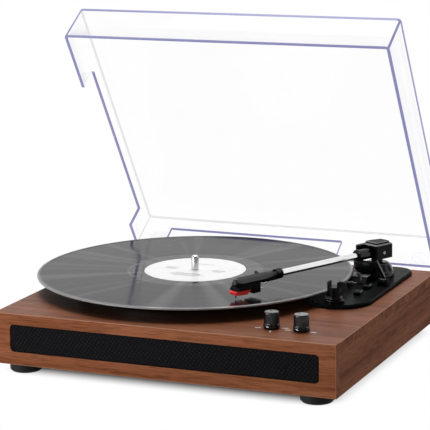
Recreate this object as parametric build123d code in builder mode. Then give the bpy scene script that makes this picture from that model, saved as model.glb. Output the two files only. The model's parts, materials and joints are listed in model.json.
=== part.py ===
"""Belt-drive record player with a hinged clear dust cover, as an assembly of separate pieces.

Millimetres, +Z up. The origin is the middle of the whole player's footprint with its cover open,
on the surface it stands on. +X is the player's right-hand side, -Y its front.
"""

import math
import os

from build123d import *

# Record, label and mat
RECORD_D = 301.6
RECORD_T = 2.0
GROOVE_DEPTH = 0.2
RIM_BEAD = 4.0
LABEL_D = 97.0
LABEL_T = 0.2
MAT_D = 214.0
MAT_T = 1.8
REAR_OVERHANG = 27.0

# Plinth: a box of veneered boards on rubber feet
PLINTH_W = 330.0
PLINTH_D = 287.0
PLINTH_H = 48.0
BOARD_T = 9.0
BASE_T = 6.0
BLOCK_SIZE = 26.0
BOARD_EDGE_R = 0.8
FOOT_D = 30.0
FOOT_H = 8.0
FOOT_SIDE_INSET = 23.0
FOOT_FRONT_INSET = 16.0
FOOT_TAPER = 1.8
FOOT_SCREW_D = 4.0
FOOT_SCREW_HEAD_D = 8.0
FOOT_SCREW_HEAD_T = 2.5
FOOT_SCREW_RECESS = 2.0
FOOT_SCREW_GRIP = 14.0

# Speaker opening across the front
GRILLE_MARGIN = 15.5
GRILLE_H = 25.6
GRILLE_DROP = 10.2
GRILLE_R = 4.0
GRILLE_RECESS = 0.8
CLOTH_T = 0.8
BAFFLE_T = 3.2
BAFFLE_FIT = 0.15
DRIVER_W = 86.0
DRIVER_MARGIN = 0.6
DRIVER_SPACING = 150.0
DRIVER_FLANGE_T = 2.0
DRIVER_FLANGE_W = 3.0
BASKET_DEPTH = 12.0
BASKET_WALL = 1.5
MAGNET_D = 18.0
MAGNET_T = 8.0
CONE_T = 0.8

# Platter, spindle and bearing
PLATTER_D = 222.0
PLATTER_H = 10.0
PLATTER_GAP = 1.8
PLATTER_PLATE_T = 3.0
PLATTER_SKIRT_T = 3.0
PLATTER_EDGE_R = 1.2
HUB_D = 30.0
HUB_CLEAR = 4.5
DRIVE_RIM_D = 144.0
DRIVE_RIM_T = 4.0
DRIVE_RIM_CLEAR = 2.2
SPINDLE_D = 7.1
SPINDLE_REACH = 14.0
SPINDLE_RELIEF = 0.3
SPINDLE_STEP = 0.3
RECORD_HOLE_D = 7.3
SHANK_D = 8.0
SPINDLE_TIP_R = 2.4
COLLAR_D = 14.0
COLLAR_T = 1.5
SHAFT_D = 6.0
SHAFT_PLAY = 0.03
BUSH_WALL = 3.0
BUSH_L = 24.0
BUSH_STAND = 2.5
BEARING_WALL = 2.5
BEARING_FLANGE_D = 40.0
BEARING_FLANGE_T = 2.0
BEARING_FLOOR_T = 2.5
END_PLAY = 0.05

# Motor, pulley and belt
MOTOR_D = 32.0
MOTOR_H = 20.0
MOTOR_HEADING = 118.0
MOTOR_REACH = 91.0
MOTOR_FLANGE_W = 46.0
MOTOR_FLANGE_T = 2.0
MOTOR_FLANGE_R = 4.0
MOTOR_SHAFT_D = 2.0
MOTOR_SHAFT_DEPTH = 12.0
MOTOR_BOSS_D = 9.0
MOTOR_BOSS_PLAY = 0.2
PULLEY_D = 8.0
PULLEY_H = 4.8
PULLEY_CLEAR = 1.7
BELT_W = 3.6
BELT_T = 0.7
BELT_FIT = 0.05

# Deck plate under the arm
DECK_W = 62.0
DECK_T = 4.0
DECK_RIGHT_INSET = 17.0
DECK_REAR_INSET = 8.0
DECK_L = 166.0
DECK_REAR_R = 18.0
DECK_CHAMFER = 1.2
DECK_SCREW_D = 3.0
DECK_SCREW_HEAD_D = 5.6
DECK_SCREW_HEAD_T = 2.0
DECK_SCREW_INSET = 7.0
DECK_SCREW_GRIP = 7.0
SCREW_HEAD_PLAY = 0.2
MECHANISM_W = 34.0
MECHANISM_L = 42.0

# Arm: pivot, tube and head
PIVOT_RIGHT_INSET = 42.55
PIVOT_FROM_SPINDLE = 158.95
PIVOT_REAR_INSET = 53.2
ARM_LENGTH = 182.3
PLAY_RADIUS = 124.5
TUBE_RISE = 14.7
TUBE_D = 7.5
TUBE_WALL = 0.6
SLEEVE_D = 10.5
SLEEVE_END = 28.0
COLLAR_START = 126.8
HEAD_COLLAR_L = 7.5
HEAD_COLLAR_D = 9.6
TOWER_D = 33.0
TOWER_TOP_D = 19.0
TOWER_H = 10.5
ARM_SHAFT_D = 5.0
ARM_SHAFT_DEPTH = 17.0
ARM_BUSH_WALL = 2.0
ARM_BUSH_STAND = 0.5
HOUSING_GAP = 0.3
HOUSING_FRONT = 10.8
HOUSING_REAR = 11.8
HOUSING_W = 20.0
HOUSING_WALL = 1.8
HOUSING_BELOW = 5.7
HOUSING_ABOVE = 7.0
HOUSING_FLOOR_FRONT = 5.4
HOUSING_HUB_D = 11.0
CAP_T = 1.5
CAP_PLATE_W = 16.0
CAP_PLATE_T = 1.2
CAP_BEVEL = 1.0
SLEEVE_PORT_PLAY = 1.4
BLOCK_REAR = 7.0
BLOCK_FRONT = 6.0
BLOCK_H = 7.0
BLOCK_SIDE_PLAY = 0.6
GIMBAL_PIN_D = 2.5
GIMBAL_PIN_BITE = 4.0
GIMBAL_PLAY = 0.05

# Head, cartridge and stylus, along the arm from the pivot
HEAD_W = 15.0
HEAD_NECK_W = 8.0
HEAD_NECK_END = 152.3
HEAD_TIP = 185.5
HEAD_ABOVE = 3.2
HEAD_BELOW = 1.2
HEAD_NOSE_CUT = 5.0
FINGER_LIFT_L = 12.0
FINGER_LIFT_W = 3.4
FINGER_LIFT_AT = 145.0
FINGER_LIFT_T = 1.4
CARTRIDGE_W = 13.0
CARTRIDGE_REAR = 157.5
CARTRIDGE_FRONT = 184.0
CARTRIDGE_STEP = 166.8
CARTRIDGE_BELOW = 7.0
CARTRIDGE_REAR_BELOW = 11.5
STYLUS_W = 10.0
STYLUS_BELOW = 12.8
STYLUS_REAR_BELOW = 9.2
STYLUS_FRONT_BELOW = 9.6
STYLUS_FRONT = 185.0
STYLUS_FIT = 0.2
NEEDLE_D = 1.2
NEEDLE_TIP_D = 0.3
NEEDLE_GAP = 0.1

# Cueing lift and lever
LIFT_R = 20.4
LIFT_T = 4.0
LIFT_H = 12.2
LIFT_GAP = 0.35
LIFT_START = 206.0
LIFT_END = 286.0
LIFT_POST_HEADING = 247.0
LIFT_POST_D = 4.0
LIFT_POST_PLAY = 0.05
LIFT_POST_CLEAR = 0.3
LIFT_POST_BELOW = 12.0
LIFT_BLOCK_W = 18.0
LIFT_BLOCK_REAR = 8.0
LIFT_BLOCK_FRONT = 18.0
LIFT_BLOCK_H = 6.2
LIFT_BLOCK_PLAY = 0.3
LIFT_BLOCK_SLOPE = 5.0
LEVER_RIGHT_INSET = 24.2
LEVER_FRONT = 199.0
LEVER_AXIS_H = 4.0
LEVER_HUB_D = 7.0
LEVER_HUB_W = 5.0
LEVER_ROOT_L = 5.0
LEVER_L = 15.0
LEVER_LEAN = 8.0
LEVER_BAR_W = 3.0
LEVER_PIN_D = 2.2
LEVER_PIN_PLAY = 0.05
LEVER_EAR_T = 2.2
LEVER_SIDE_PLAY = 0.3

# Arm rest and its clip
REST_HEADING = 268.52
REST_REACH = 112.1
REST_POST_D = 13.0
REST_FOOT_D = 18.5
REST_FOOT_T = 2.4
REST_FLOOR_DROP = 9.0
REST_SLOT_PLAY = 0.6
REST_EAR_DROP = 4.3
CLIP_PLAY = 0.8
CLIP_T = 1.8
CLIP_W = 4.0
CLIP_BACK = 4.0
CLIP_PIN_D = 2.0
CLIP_PIN_PLAY = 0.05
CLIP_KNUCKLE_D = 5.0
CLIP_PIN_SIDE = 9.0
CLIP_PIN_DROP = 6.5
CLIP_OPEN = 110.0
CLIP_FROM = -10.0
CLIP_TO = 165.0
CLIP_LUG_T = 3.0
CLIP_SIDE_PLAY = 0.3

# Slide switches on the deck plate
SWITCH_RIGHT_INSET = 35.0
SPEED_FRONT = 161.0
AUTO_STOP_FRONT = 181.0
SWITCH_KNOB_W = 7.0
SWITCH_KNOB_L = 8.0
SWITCH_KNOB_H = 4.0
SWITCH_KNOB_GAP = 0.3
SWITCH_KNOB_CHAMFER = 1.2
SWITCH_STEM_W = 3.0
SWITCH_STEM_L = 4.0
SWITCH_TRAVEL = 6.0
SWITCH_STEM_PLAY = 0.3
SWITCH_STEM_SHORT = 1.2
SWITCH_BODY_W = 10.0
SWITCH_BODY_L = 17.0
SWITCH_BODY_H = 6.0

# Control knobs
KNOB_FRONT = 34.2
KNOB_FIRST_RIGHT_INSET = 72.0
KNOB_PITCH = 27.8
KNOB_D = 13.9
KNOB_TOP_D = 13.1
KNOB_BASE_D = 14.8
KNOB_BASE_H = 4.2
KNOB_H = 14.7
KNOB_GAP = 0.5
KNOB_EDGE_R = 0.8
KNOB_STEM_D = 6.0
KNOB_STEM_PLAY = 0.03
KNOB_STEM_DEPTH = 12.0
POT_D = 16.5
POT_H = 9.0
POT_BUSH_D = 8.0
POT_FLOOR_T = 2.0

# Sockets on the back, and the amplifier behind them
PANEL_W = 120.0
PANEL_H = 26.0
PANEL_T = 2.0
PANEL_LIP = 4.0
PANEL_R = 2.0
JACK_PITCH = 18.0
RCA_D = 8.3
RCA_SEAT_D = 9.0
RCA_REACH = 9.0
RCA_BORE_D = 3.4
JACK_BODY_D = 11.0
RCA_BODY_L = 8.0
AUX_BORE_D = 3.6
AUX_D = 7.0
AUX_REACH = 2.0
AUX_BODY_L = 12.0
POWER_D = 9.0
POWER_BORE_D = 5.6
POWER_PIN_D = 2.1
POWER_REACH = 2.0
POWER_BODY_L = 11.0
PCB_W = 110.0
PCB_L = 70.0
PCB_T = 1.6
PCB_GAP = 3.0
STANDOFF_D = 7.0
STANDOFF_H = 5.0
STANDOFF_INSET = 7.0

# Dust cover and hinges
LID_W = 325.0
LID_D = 278.0
LID_H = 42.0
LID_WALL = 2.5
LID_CORNER_R = 4.0
LID_GAP = 0.6
LID_REAR_INSET = 1.0
LID_OPEN = 57.8
NOTCH_H = 25.0
NOTCH_CUT_W = 10.0
NOTCH_PLAY = 3.0
NOTCH_REAR_EXTRA = 5.0
HINGE_BACK = 4.5
HINGE_DROP = 8.4
HINGE_SPACING = 284.0
HINGE_W = 16.0
HINGE_KNUCKLE_D = 8.0
HINGE_EAR_T = 4.0
HINGE_SIDE_PLAY = 0.3
HINGE_PIN_D = 2.4
HINGE_PIN_PLAY = 0.05
HINGE_PLATE_T = 2.0
HINGE_PLATE_H = 12.0
LEAF_T = 2.5
LEAF_H = 20.0
LEAF_START = 1.0
LEAF_WEB_T = 4.0
LEAF_WEB_RISE = 14.0

# Places that follow from the sizes above
TOP_Z = FOOT_H + PLINTH_H
UNDER_Z = TOP_Z - BOARD_T
FLOOR_Z = FOOT_H + BASE_T
DECK_Z = TOP_Z + DECK_T
MAT_Z = TOP_Z + PLATTER_H
RECORD_Z = MAT_Z + MAT_T
RECORD_TOP = RECORD_Z + RECORD_T
TUBE_Z = RECORD_TOP + TUBE_RISE

# The open cover reaches furthest back, at its upper rear edge
OPEN_SIN = math.sin(math.radians(LID_OPEN))
OPEN_COS = math.cos(math.radians(LID_OPEN))
LID_SETBACK = HINGE_BACK + LID_REAR_INSET
LID_RIM = HINGE_DROP + LID_GAP
LID_REACH = HINGE_BACK - LID_SETBACK * OPEN_COS + (LID_RIM + LID_H) * OPEN_SIN
SIDE_OVERHANG = RECORD_D / 2 + PIVOT_FROM_SPINDLE + PIVOT_RIGHT_INSET - PLINTH_W
PLINTH_X = max(SIDE_OVERHANG, 0) / 2
FRONT_Y = -(PLINTH_D + LID_REACH) / 2
REAR_Y = FRONT_Y + PLINTH_D
MID_Y = FRONT_Y + PLINTH_D / 2
LEFT_X = PLINTH_X - PLINTH_W / 2
RIGHT_X = PLINTH_X + PLINTH_W / 2
HINGE_Y = REAR_Y + HINGE_BACK
HINGE_Z = TOP_Z - HINGE_DROP

PIVOT_X = RIGHT_X - PIVOT_RIGHT_INSET
SPINDLE_X = PIVOT_X - PIVOT_FROM_SPINDLE
SPINDLE_Y = REAR_Y + REAR_OVERHANG - RECORD_D / 2
PIVOT_Y = REAR_Y - PIVOT_REAR_INSET

# The stylus stands on the record, which sets the arm's heading from the pivot
PIVOT_TO_SPINDLE = math.hypot(SPINDLE_X - PIVOT_X, SPINDLE_Y - PIVOT_Y)
SPINDLE_HEADING = math.degrees(math.atan2(SPINDLE_Y - PIVOT_Y, SPINDLE_X - PIVOT_X)) % 360


def swing_to(radius):
    """Angle at the pivot between the spindle and a stylus at this radius on the record."""
    square = PIVOT_TO_SPINDLE**2 + ARM_LENGTH**2 - radius**2
    return math.degrees(math.acos(square / (2 * PIVOT_TO_SPINDLE * ARM_LENGTH)))


def heading(angle):
    """Horizontal unit vector at this angle from +X."""
    return (math.cos(math.radians(angle)), math.sin(math.radians(angle)), 0)


def around(angle, reach):
    """Point at this angle and distance from the arm's pivot."""
    return (PIVOT_X + reach * heading(angle)[0], PIVOT_Y + reach * heading(angle)[1])


def upright(x, y):
    """Plane through a vertical line, with local x as distance from it and local y as height."""
    return Plane(origin=(x, y, 0), x_dir=(1, 0, 0), z_dir=(0, -1, 0))


def vertical(x, y):
    """Vertical axis through a point."""
    return Axis((x, y, 0), (0, 0, 1))


ARM_HEADING = SPINDLE_HEADING + swing_to(PLAY_RADIUS)
ARM = Plane(origin=(PIVOT_X, PIVOT_Y, TUBE_Z), x_dir=heading(ARM_HEADING), z_dir=(0, 0, 1))
REST_X, REST_Y = around(REST_HEADING, REST_REACH)
PARKED = Plane(origin=(REST_X, REST_Y, TUBE_Z), x_dir=heading(REST_HEADING), z_dir=(0, 0, 1))
LID = Plane(origin=(PLINTH_X, HINGE_Y, HINGE_Z), x_dir=(1, 0, 0), z_dir=(0, OPEN_SIN, OPEN_COS))
FRONT = Plane(origin=(PLINTH_X, FRONT_Y, 0), x_dir=(1, 0, 0), z_dir=(0, -1, 0))
BACK = Plane(origin=(PLINTH_X, REAR_Y, 0), x_dir=(-1, 0, 0), z_dir=(0, 1, 0))


def across(frame, along):
    """Plane square to an arm frame's length: local x is sideways and local y is height."""
    return Plane(origin=frame.from_local_coords((along, 0, 0)), x_dir=frame.y_dir, z_dir=frame.x_dir)


def beside(frame):
    """Upright plane along an arm frame's length: local x is along it and local y is height."""
    return Plane(origin=frame.origin, x_dir=frame.x_dir, z_dir=-frame.y_dir)


os.makedirs("parts", exist_ok=True)


def keep(builder, name):
    """Label a finished piece and write it as its own file."""
    builder.part.label = name
    export_step(builder.part, f"parts/{name}.step")


# Plinth boards
POTS = [(RIGHT_X - KNOB_FIRST_RIGHT_INSET, FRONT_Y + KNOB_FRONT)]
POTS.append((POTS[0][0] + KNOB_PITCH, POTS[0][1]))
MOTOR_X = SPINDLE_X + MOTOR_REACH * heading(MOTOR_HEADING)[0]
MOTOR_Y = SPINDLE_Y + MOTOR_REACH * heading(MOTOR_HEADING)[1]
BEARING_D = SHAFT_D + 2 * (SHAFT_PLAY + BUSH_WALL + BEARING_WALL)
DECK_X = RIGHT_X - DECK_RIGHT_INSET - DECK_W / 2
DECK_REAR = REAR_Y - DECK_REAR_INSET
DECK_NOSE = DECK_REAR - DECK_L + DECK_W / 2
SWITCH_X = RIGHT_X - SWITCH_RIGHT_INSET
SWITCH_YS = [FRONT_Y + SPEED_FRONT, FRONT_Y + AUTO_STOP_FRONT]
LIFT_POST = around(LIFT_POST_HEADING, LIFT_R)
DECK_SCREWS = [
    (DECK_X - DECK_W / 2 + DECK_SCREW_INSET, DECK_NOSE),
    (DECK_X + DECK_W / 2 - DECK_SCREW_INSET, DECK_NOSE),
    (DECK_X - DECK_W / 2 + DECK_SCREW_INSET, DECK_REAR - DECK_REAR_R),
    (DECK_X + DECK_W / 2 - DECK_SCREW_INSET, DECK_REAR - DECK_REAR_R),
]
ARM_BUSH_D = ARM_SHAFT_D + 2 * (SHAFT_PLAY + ARM_BUSH_WALL)
MECHANISM_Y = (SWITCH_YS[0] + SWITCH_YS[1]) / 2

with BuildPart() as top_board:
    with BuildSketch(Plane.XY.offset(TOP_Z)):
        with Locations((PLINTH_X, MID_Y + BOARD_T / 2)):
            Rectangle(PLINTH_W, PLINTH_D - BOARD_T)
    extrude(amount=-BOARD_T)
    outer = top_board.faces().sort_by(Axis.Z)[-1].edges()
    fillet(outer.filter_by(Axis.Y), BOARD_EDGE_R)
    with Locations((SPINDLE_X, SPINDLE_Y, TOP_Z)):
        Hole(BEARING_D / 2)
    with Locations((MOTOR_X, MOTOR_Y, TOP_Z)):
        Hole(MOTOR_BOSS_D / 2 + MOTOR_BOSS_PLAY)
    with Locations((PIVOT_X, PIVOT_Y, TOP_Z)):
        Hole(ARM_BUSH_D / 2)
    with Locations((LIFT_POST[0], LIFT_POST[1], TOP_Z)):
        Hole(LIFT_POST_D / 2 + LIFT_POST_CLEAR)
    with Locations(*[(x, y, TOP_Z) for x, y in POTS]):
        Hole(POT_BUSH_D / 2)
    with Locations(*[(x, y, TOP_Z) for x, y in DECK_SCREWS]):
        Hole(DECK_SCREW_D / 2)
    with BuildSketch(Plane.XY.offset(TOP_Z)):
        with Locations((SWITCH_X, MECHANISM_Y)):
            Rectangle(MECHANISM_W, MECHANISM_L)
    extrude(amount=-BOARD_T, mode=Mode.SUBTRACT)
keep(top_board, "top_board")

GRILLE_W = PLINTH_W - 2 * GRILLE_MARGIN
GRILLE_Z = TOP_Z - GRILLE_DROP - GRILLE_H / 2

with BuildPart() as front_board:
    with BuildSketch(FRONT):
        with Locations((0, FOOT_H + PLINTH_H / 2)):
            Rectangle(PLINTH_W, PLINTH_H)
        with Locations((0, GRILLE_Z)):
            RectangleRounded(GRILLE_W, GRILLE_H, GRILLE_R, mode=Mode.SUBTRACT)
    extrude(amount=-BOARD_T)
    face_edges = front_board.faces().sort_by(Axis.Y)[0].outer_wire().edges()
    fillet(face_edges, BOARD_EDGE_R)
keep(front_board, "front_board")

SIDE_L = PLINTH_D - 2 * BOARD_T
SIDE_H = PLINTH_H - BOARD_T
for name, x in (("left_board", LEFT_X + BOARD_T / 2), ("right_board", RIGHT_X - BOARD_T / 2)):
    with BuildPart() as side_board:
        with BuildSketch(Plane.XY.offset(FOOT_H)):
            with Locations((x, MID_Y)):
                Rectangle(BOARD_T, SIDE_L)
        extrude(amount=SIDE_H)
    keep(side_board, name)

PANEL_Z = (FLOOR_Z + UNDER_Z) / 2

with BuildPart() as back_board:
    with BuildSketch(BACK):
        with Locations((0, FOOT_H + SIDE_H / 2)):
            Rectangle(PLINTH_W, SIDE_H)
        with Locations((0, PANEL_Z)):
            Rectangle(PANEL_W - 2 * PANEL_LIP, PANEL_H - 2 * PANEL_LIP, mode=Mode.SUBTRACT)
    extrude(amount=-BOARD_T)
keep(back_board, "back_board")

FOOT_SPOTS = GridLocations(PLINTH_W - 2 * FOOT_SIDE_INSET, PLINTH_D - 2 * FOOT_FRONT_INSET, 2, 2)
FEET = [(PLINTH_X + spot.position.X, MID_Y + spot.position.Y) for spot in FOOT_SPOTS]

with BuildPart() as base_board:
    with BuildSketch(Plane.XY.offset(FOOT_H)):
        with Locations((PLINTH_X, MID_Y)):
            Rectangle(PLINTH_W - 2 * BOARD_T, SIDE_L)
        with Locations(*FEET):
            Circle(FOOT_SCREW_D / 2, mode=Mode.SUBTRACT)
    extrude(amount=BASE_T)
keep(base_board, "base_board")

with BuildPart() as corner_blocks:
    with BuildSketch(Plane.XY.offset(FLOOR_Z)):
        with Locations((PLINTH_X, MID_Y)):
            with GridLocations(PLINTH_W - 2 * BOARD_T - BLOCK_SIZE, SIDE_L - BLOCK_SIZE, 2, 2):
                Rectangle(BLOCK_SIZE, BLOCK_SIZE)
        with Locations(*FEET):
            Circle(FOOT_SCREW_D / 2, mode=Mode.SUBTRACT)
    extrude(amount=UNDER_Z - FLOOR_Z)
keep(corner_blocks, "corner_blocks")

# Feet, each held by a screw that also holds the base to its corner block
HEAD_Z = FOOT_SCREW_RECESS + FOOT_SCREW_HEAD_T

with BuildPart() as feet:
    for x, y in FEET:
        with BuildSketch(upright(x, y)):
            Polygon(
                (FOOT_SCREW_HEAD_D / 2, 0),
                (FOOT_D / 2 - FOOT_TAPER, 0),
                (FOOT_D / 2, FOOT_TAPER),
                (FOOT_D / 2, FOOT_H),
                (FOOT_SCREW_D / 2, FOOT_H),
                (FOOT_SCREW_D / 2, HEAD_Z),
                (FOOT_SCREW_HEAD_D / 2, HEAD_Z),
                align=None,
            )
        revolve(axis=vertical(x, y))
keep(feet, "feet")

with BuildPart() as foot_screws:
    with BuildSketch(Plane.XY.offset(HEAD_Z)):
        with Locations(*FEET):
            Circle(FOOT_SCREW_HEAD_D / 2)
    extrude(amount=-FOOT_SCREW_HEAD_T)
    with BuildSketch(Plane.XY.offset(HEAD_Z)):
        with Locations(*FEET):
            Circle(FOOT_SCREW_D / 2)
    extrude(amount=FOOT_H - HEAD_Z + BASE_T + FOOT_SCREW_GRIP)
keep(foot_screws, "foot_screws")

# Speaker cloth on its baffle, with two long drivers behind it
BAFFLE_DEPTH = GRILLE_RECESS + CLOTH_T
DRIVER_DEPTH = BAFFLE_DEPTH + BAFFLE_T
DRIVER_H = GRILLE_H - 2 * BAFFLE_FIT - 2 * DRIVER_MARGIN
PORT_W = DRIVER_W - 2 * DRIVER_FLANGE_W
PORT_H = DRIVER_H - 2 * DRIVER_FLANGE_W
DRIVERS = [(side * DRIVER_SPACING / 2, GRILLE_Z) for side in (-1, 1)]

with BuildPart() as grille_cloth:
    with BuildSketch(FRONT.offset(-GRILLE_RECESS)):
        with Locations((0, GRILLE_Z)):
            RectangleRounded(GRILLE_W - 2 * BAFFLE_FIT, GRILLE_H - 2 * BAFFLE_FIT, GRILLE_R - BAFFLE_FIT)
    extrude(amount=-CLOTH_T)
keep(grille_cloth, "grille_cloth")

with BuildPart() as speaker_baffle:
    with BuildSketch(FRONT.offset(-BAFFLE_DEPTH)):
        with Locations((0, GRILLE_Z)):
            RectangleRounded(GRILLE_W, GRILLE_H, GRILLE_R)
        with Locations(*DRIVERS):
            SlotOverall(PORT_W, PORT_H, mode=Mode.SUBTRACT)
    extrude(amount=-BAFFLE_T)
keep(speaker_baffle, "speaker_baffle")

with BuildPart() as speaker_frames:
    with BuildSketch(FRONT.offset(-DRIVER_DEPTH)):
        with Locations(*DRIVERS):
            SlotOverall(DRIVER_W, DRIVER_H)
    extrude(amount=-DRIVER_FLANGE_T)
    with BuildSketch(FRONT.offset(-DRIVER_DEPTH - DRIVER_FLANGE_T)):
        with Locations(*DRIVERS):
            SlotOverall(PORT_W, PORT_H)
    extrude(amount=DRIVER_FLANGE_T - BASKET_DEPTH)
    with BuildSketch(FRONT.offset(-DRIVER_DEPTH)):
        with Locations(*DRIVERS):
            SlotOverall(PORT_W - 2 * BASKET_WALL, PORT_H - 2 * BASKET_WALL)
    extrude(amount=BASKET_WALL - BASKET_DEPTH, mode=Mode.SUBTRACT)
    with BuildSketch(FRONT.offset(-DRIVER_DEPTH - BASKET_DEPTH)):
        with Locations(*DRIVERS):
            Circle(MAGNET_D / 2)
    extrude(amount=-MAGNET_T)
keep(speaker_frames, "speaker_frames")

with BuildPart() as speaker_cones:
    with BuildSketch(FRONT.offset(-DRIVER_DEPTH)):
        with Locations(*DRIVERS):
            SlotOverall(PORT_W - 2 * BASKET_WALL, PORT_H - 2 * BASKET_WALL)
    extrude(amount=-CONE_T)
keep(speaker_cones, "speaker_cones")

# Spindle bearing in the top board
BUSH_R = SHAFT_D / 2 + SHAFT_PLAY
BUSH_OUTER_R = BUSH_R + BUSH_WALL
BUSH_TOP = TOP_Z + BUSH_STAND
BUSH_BOTTOM = BUSH_TOP - BUSH_L
HUB_Z = TOP_Z + HUB_CLEAR
COLLAR_Z = HUB_Z - COLLAR_T

with BuildPart() as bearing_housing:
    with BuildSketch(upright(SPINDLE_X, SPINDLE_Y)):
        Polygon(
            (0, BUSH_BOTTOM - BEARING_FLOOR_T),
            (BEARING_D / 2, BUSH_BOTTOM - BEARING_FLOOR_T),
            (BEARING_D / 2, TOP_Z),
            (BEARING_FLANGE_D / 2, TOP_Z),
            (BEARING_FLANGE_D / 2, TOP_Z + BEARING_FLANGE_T),
            (BUSH_OUTER_R, TOP_Z + BEARING_FLANGE_T),
            (BUSH_OUTER_R, BUSH_BOTTOM),
            (0, BUSH_BOTTOM),
            align=None,
        )
    revolve(axis=vertical(SPINDLE_X, SPINDLE_Y))
keep(bearing_housing, "bearing_housing")

with BuildPart() as bearing_bush:
    with BuildSketch(Plane.XY.offset(BUSH_BOTTOM)):
        with Locations((SPINDLE_X, SPINDLE_Y)):
            Circle(BUSH_OUTER_R)
            Circle(BUSH_R, mode=Mode.SUBTRACT)
    extrude(amount=BUSH_L)
keep(bearing_bush, "bearing_bush")

# Spindle, platter, mat and record turn together
with BuildPart() as spindle:
    with BuildSketch(upright(SPINDLE_X, SPINDLE_Y)):
        Polygon(
            (0, BUSH_BOTTOM + END_PLAY),
            (SHAFT_D / 2, BUSH_BOTTOM + END_PLAY),
            (SHAFT_D / 2, COLLAR_Z),
            (COLLAR_D / 2, COLLAR_Z),
            (COLLAR_D / 2, HUB_Z),
            (SHANK_D / 2, HUB_Z),
            (SHANK_D / 2, RECORD_Z),
            (SPINDLE_D / 2 - SPINDLE_RELIEF, RECORD_Z),
            (SPINDLE_D / 2 - SPINDLE_RELIEF, RECORD_TOP + SPINDLE_STEP),
            (SPINDLE_D / 2, RECORD_TOP + SPINDLE_STEP),
            (SPINDLE_D / 2, RECORD_TOP + SPINDLE_REACH),
            (0, RECORD_TOP + SPINDLE_REACH),
            align=None,
        )
    revolve(axis=vertical(SPINDLE_X, SPINDLE_Y))
    tip = spindle.faces().sort_by(Axis.Z)[-1].edges()
    fillet(tip, SPINDLE_TIP_R)
keep(spindle, "spindle")

PLATE_Z = MAT_Z - PLATTER_PLATE_T
RIM_R = DRIVE_RIM_D / 2
SKIRT_R = PLATTER_D / 2

with BuildPart() as platter:
    with BuildSketch(upright(SPINDLE_X, SPINDLE_Y)):
        Polygon(
            (SHANK_D / 2, HUB_Z),
            (HUB_D / 2, HUB_Z),
            (HUB_D / 2, PLATE_Z),
            (RIM_R - DRIVE_RIM_T, PLATE_Z),
            (RIM_R - DRIVE_RIM_T, TOP_Z + DRIVE_RIM_CLEAR),
            (RIM_R, TOP_Z + DRIVE_RIM_CLEAR),
            (RIM_R, PLATE_Z),
            (SKIRT_R - PLATTER_SKIRT_T, PLATE_Z),
            (SKIRT_R - PLATTER_SKIRT_T, TOP_Z + PLATTER_GAP),
            (SKIRT_R, TOP_Z + PLATTER_GAP),
            (SKIRT_R, MAT_Z),
            (SHANK_D / 2, MAT_Z),
            align=None,
        )
    revolve(axis=vertical(SPINDLE_X, SPINDLE_Y))
    rim = platter.faces().sort_by(Axis.Z)[-1].outer_wire().edges()
    fillet(rim, PLATTER_EDGE_R)
keep(platter, "platter")

with BuildPart() as slip_mat:
    with BuildSketch(Plane.XY.offset(MAT_Z)):
        with Locations((SPINDLE_X, SPINDLE_Y)):
            Circle(MAT_D / 2)
            Circle(SHANK_D / 2, mode=Mode.SUBTRACT)
    extrude(amount=MAT_T)
keep(slip_mat, "slip_mat")

with BuildPart() as record:
    with BuildSketch(upright(SPINDLE_X, SPINDLE_Y)):
        Polygon(
            (RECORD_HOLE_D / 2, RECORD_Z),
            (RECORD_D / 2 - RECORD_T / 2, RECORD_Z),
            (RECORD_D / 2, RECORD_Z + RECORD_T / 2),
            (RECORD_D / 2 - RECORD_T / 2, RECORD_TOP),
            (RECORD_D / 2 - RIM_BEAD, RECORD_TOP),
            (RECORD_D / 2 - RIM_BEAD - GROOVE_DEPTH, RECORD_TOP - GROOVE_DEPTH),
            (RECORD_HOLE_D / 2, RECORD_TOP - GROOVE_DEPTH),
            align=None,
        )
    revolve(axis=vertical(SPINDLE_X, SPINDLE_Y))
keep(record, "record")

with BuildPart() as record_label:
    with BuildSketch(Plane.XY.offset(RECORD_TOP - GROOVE_DEPTH)):
        with Locations((SPINDLE_X, SPINDLE_Y)):
            Circle(LABEL_D / 2)
            Circle(RECORD_HOLE_D / 2, mode=Mode.SUBTRACT)
    extrude(amount=LABEL_T)
keep(record_label, "record_label")

# Motor under the top board, its pulley above, and the belt round pulley and platter
PULLEY_Z = TOP_Z + PULLEY_CLEAR
BELT_Z = PULLEY_Z + (PULLEY_H - BELT_W) / 2
MOTOR_BORE_R = MOTOR_SHAFT_D / 2 + SHAFT_PLAY

with BuildPart() as motor_can:
    with BuildSketch(Plane.XY.offset(UNDER_Z)):
        with Locations((MOTOR_X, MOTOR_Y)):
            RectangleRounded(MOTOR_FLANGE_W, MOTOR_D, MOTOR_FLANGE_R)
    extrude(amount=-MOTOR_FLANGE_T)
    with BuildSketch(Plane.XY.offset(UNDER_Z - MOTOR_FLANGE_T)):
        with Locations((MOTOR_X, MOTOR_Y)):
            Circle(MOTOR_D / 2)
    extrude(amount=-MOTOR_H)
    with BuildSketch(Plane.XY.offset(UNDER_Z)):
        with Locations((MOTOR_X, MOTOR_Y)):
            Circle(MOTOR_BOSS_D / 2)
    extrude(amount=BOARD_T)
    with BuildSketch(Plane.XY.offset(TOP_Z)):
        with Locations((MOTOR_X, MOTOR_Y)):
            Circle(MOTOR_BORE_R)
    extrude(amount=-BOARD_T - MOTOR_SHAFT_DEPTH, mode=Mode.SUBTRACT)
keep(motor_can, "motor_can")

with BuildPart() as motor_shaft:
    with BuildSketch(Plane.XY.offset(PULLEY_Z + PULLEY_H)):
        with Locations((MOTOR_X, MOTOR_Y)):
            Circle(MOTOR_SHAFT_D / 2)
    extrude(amount=UNDER_Z - MOTOR_SHAFT_DEPTH + END_PLAY - PULLEY_Z - PULLEY_H)
keep(motor_shaft, "motor_shaft")

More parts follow.
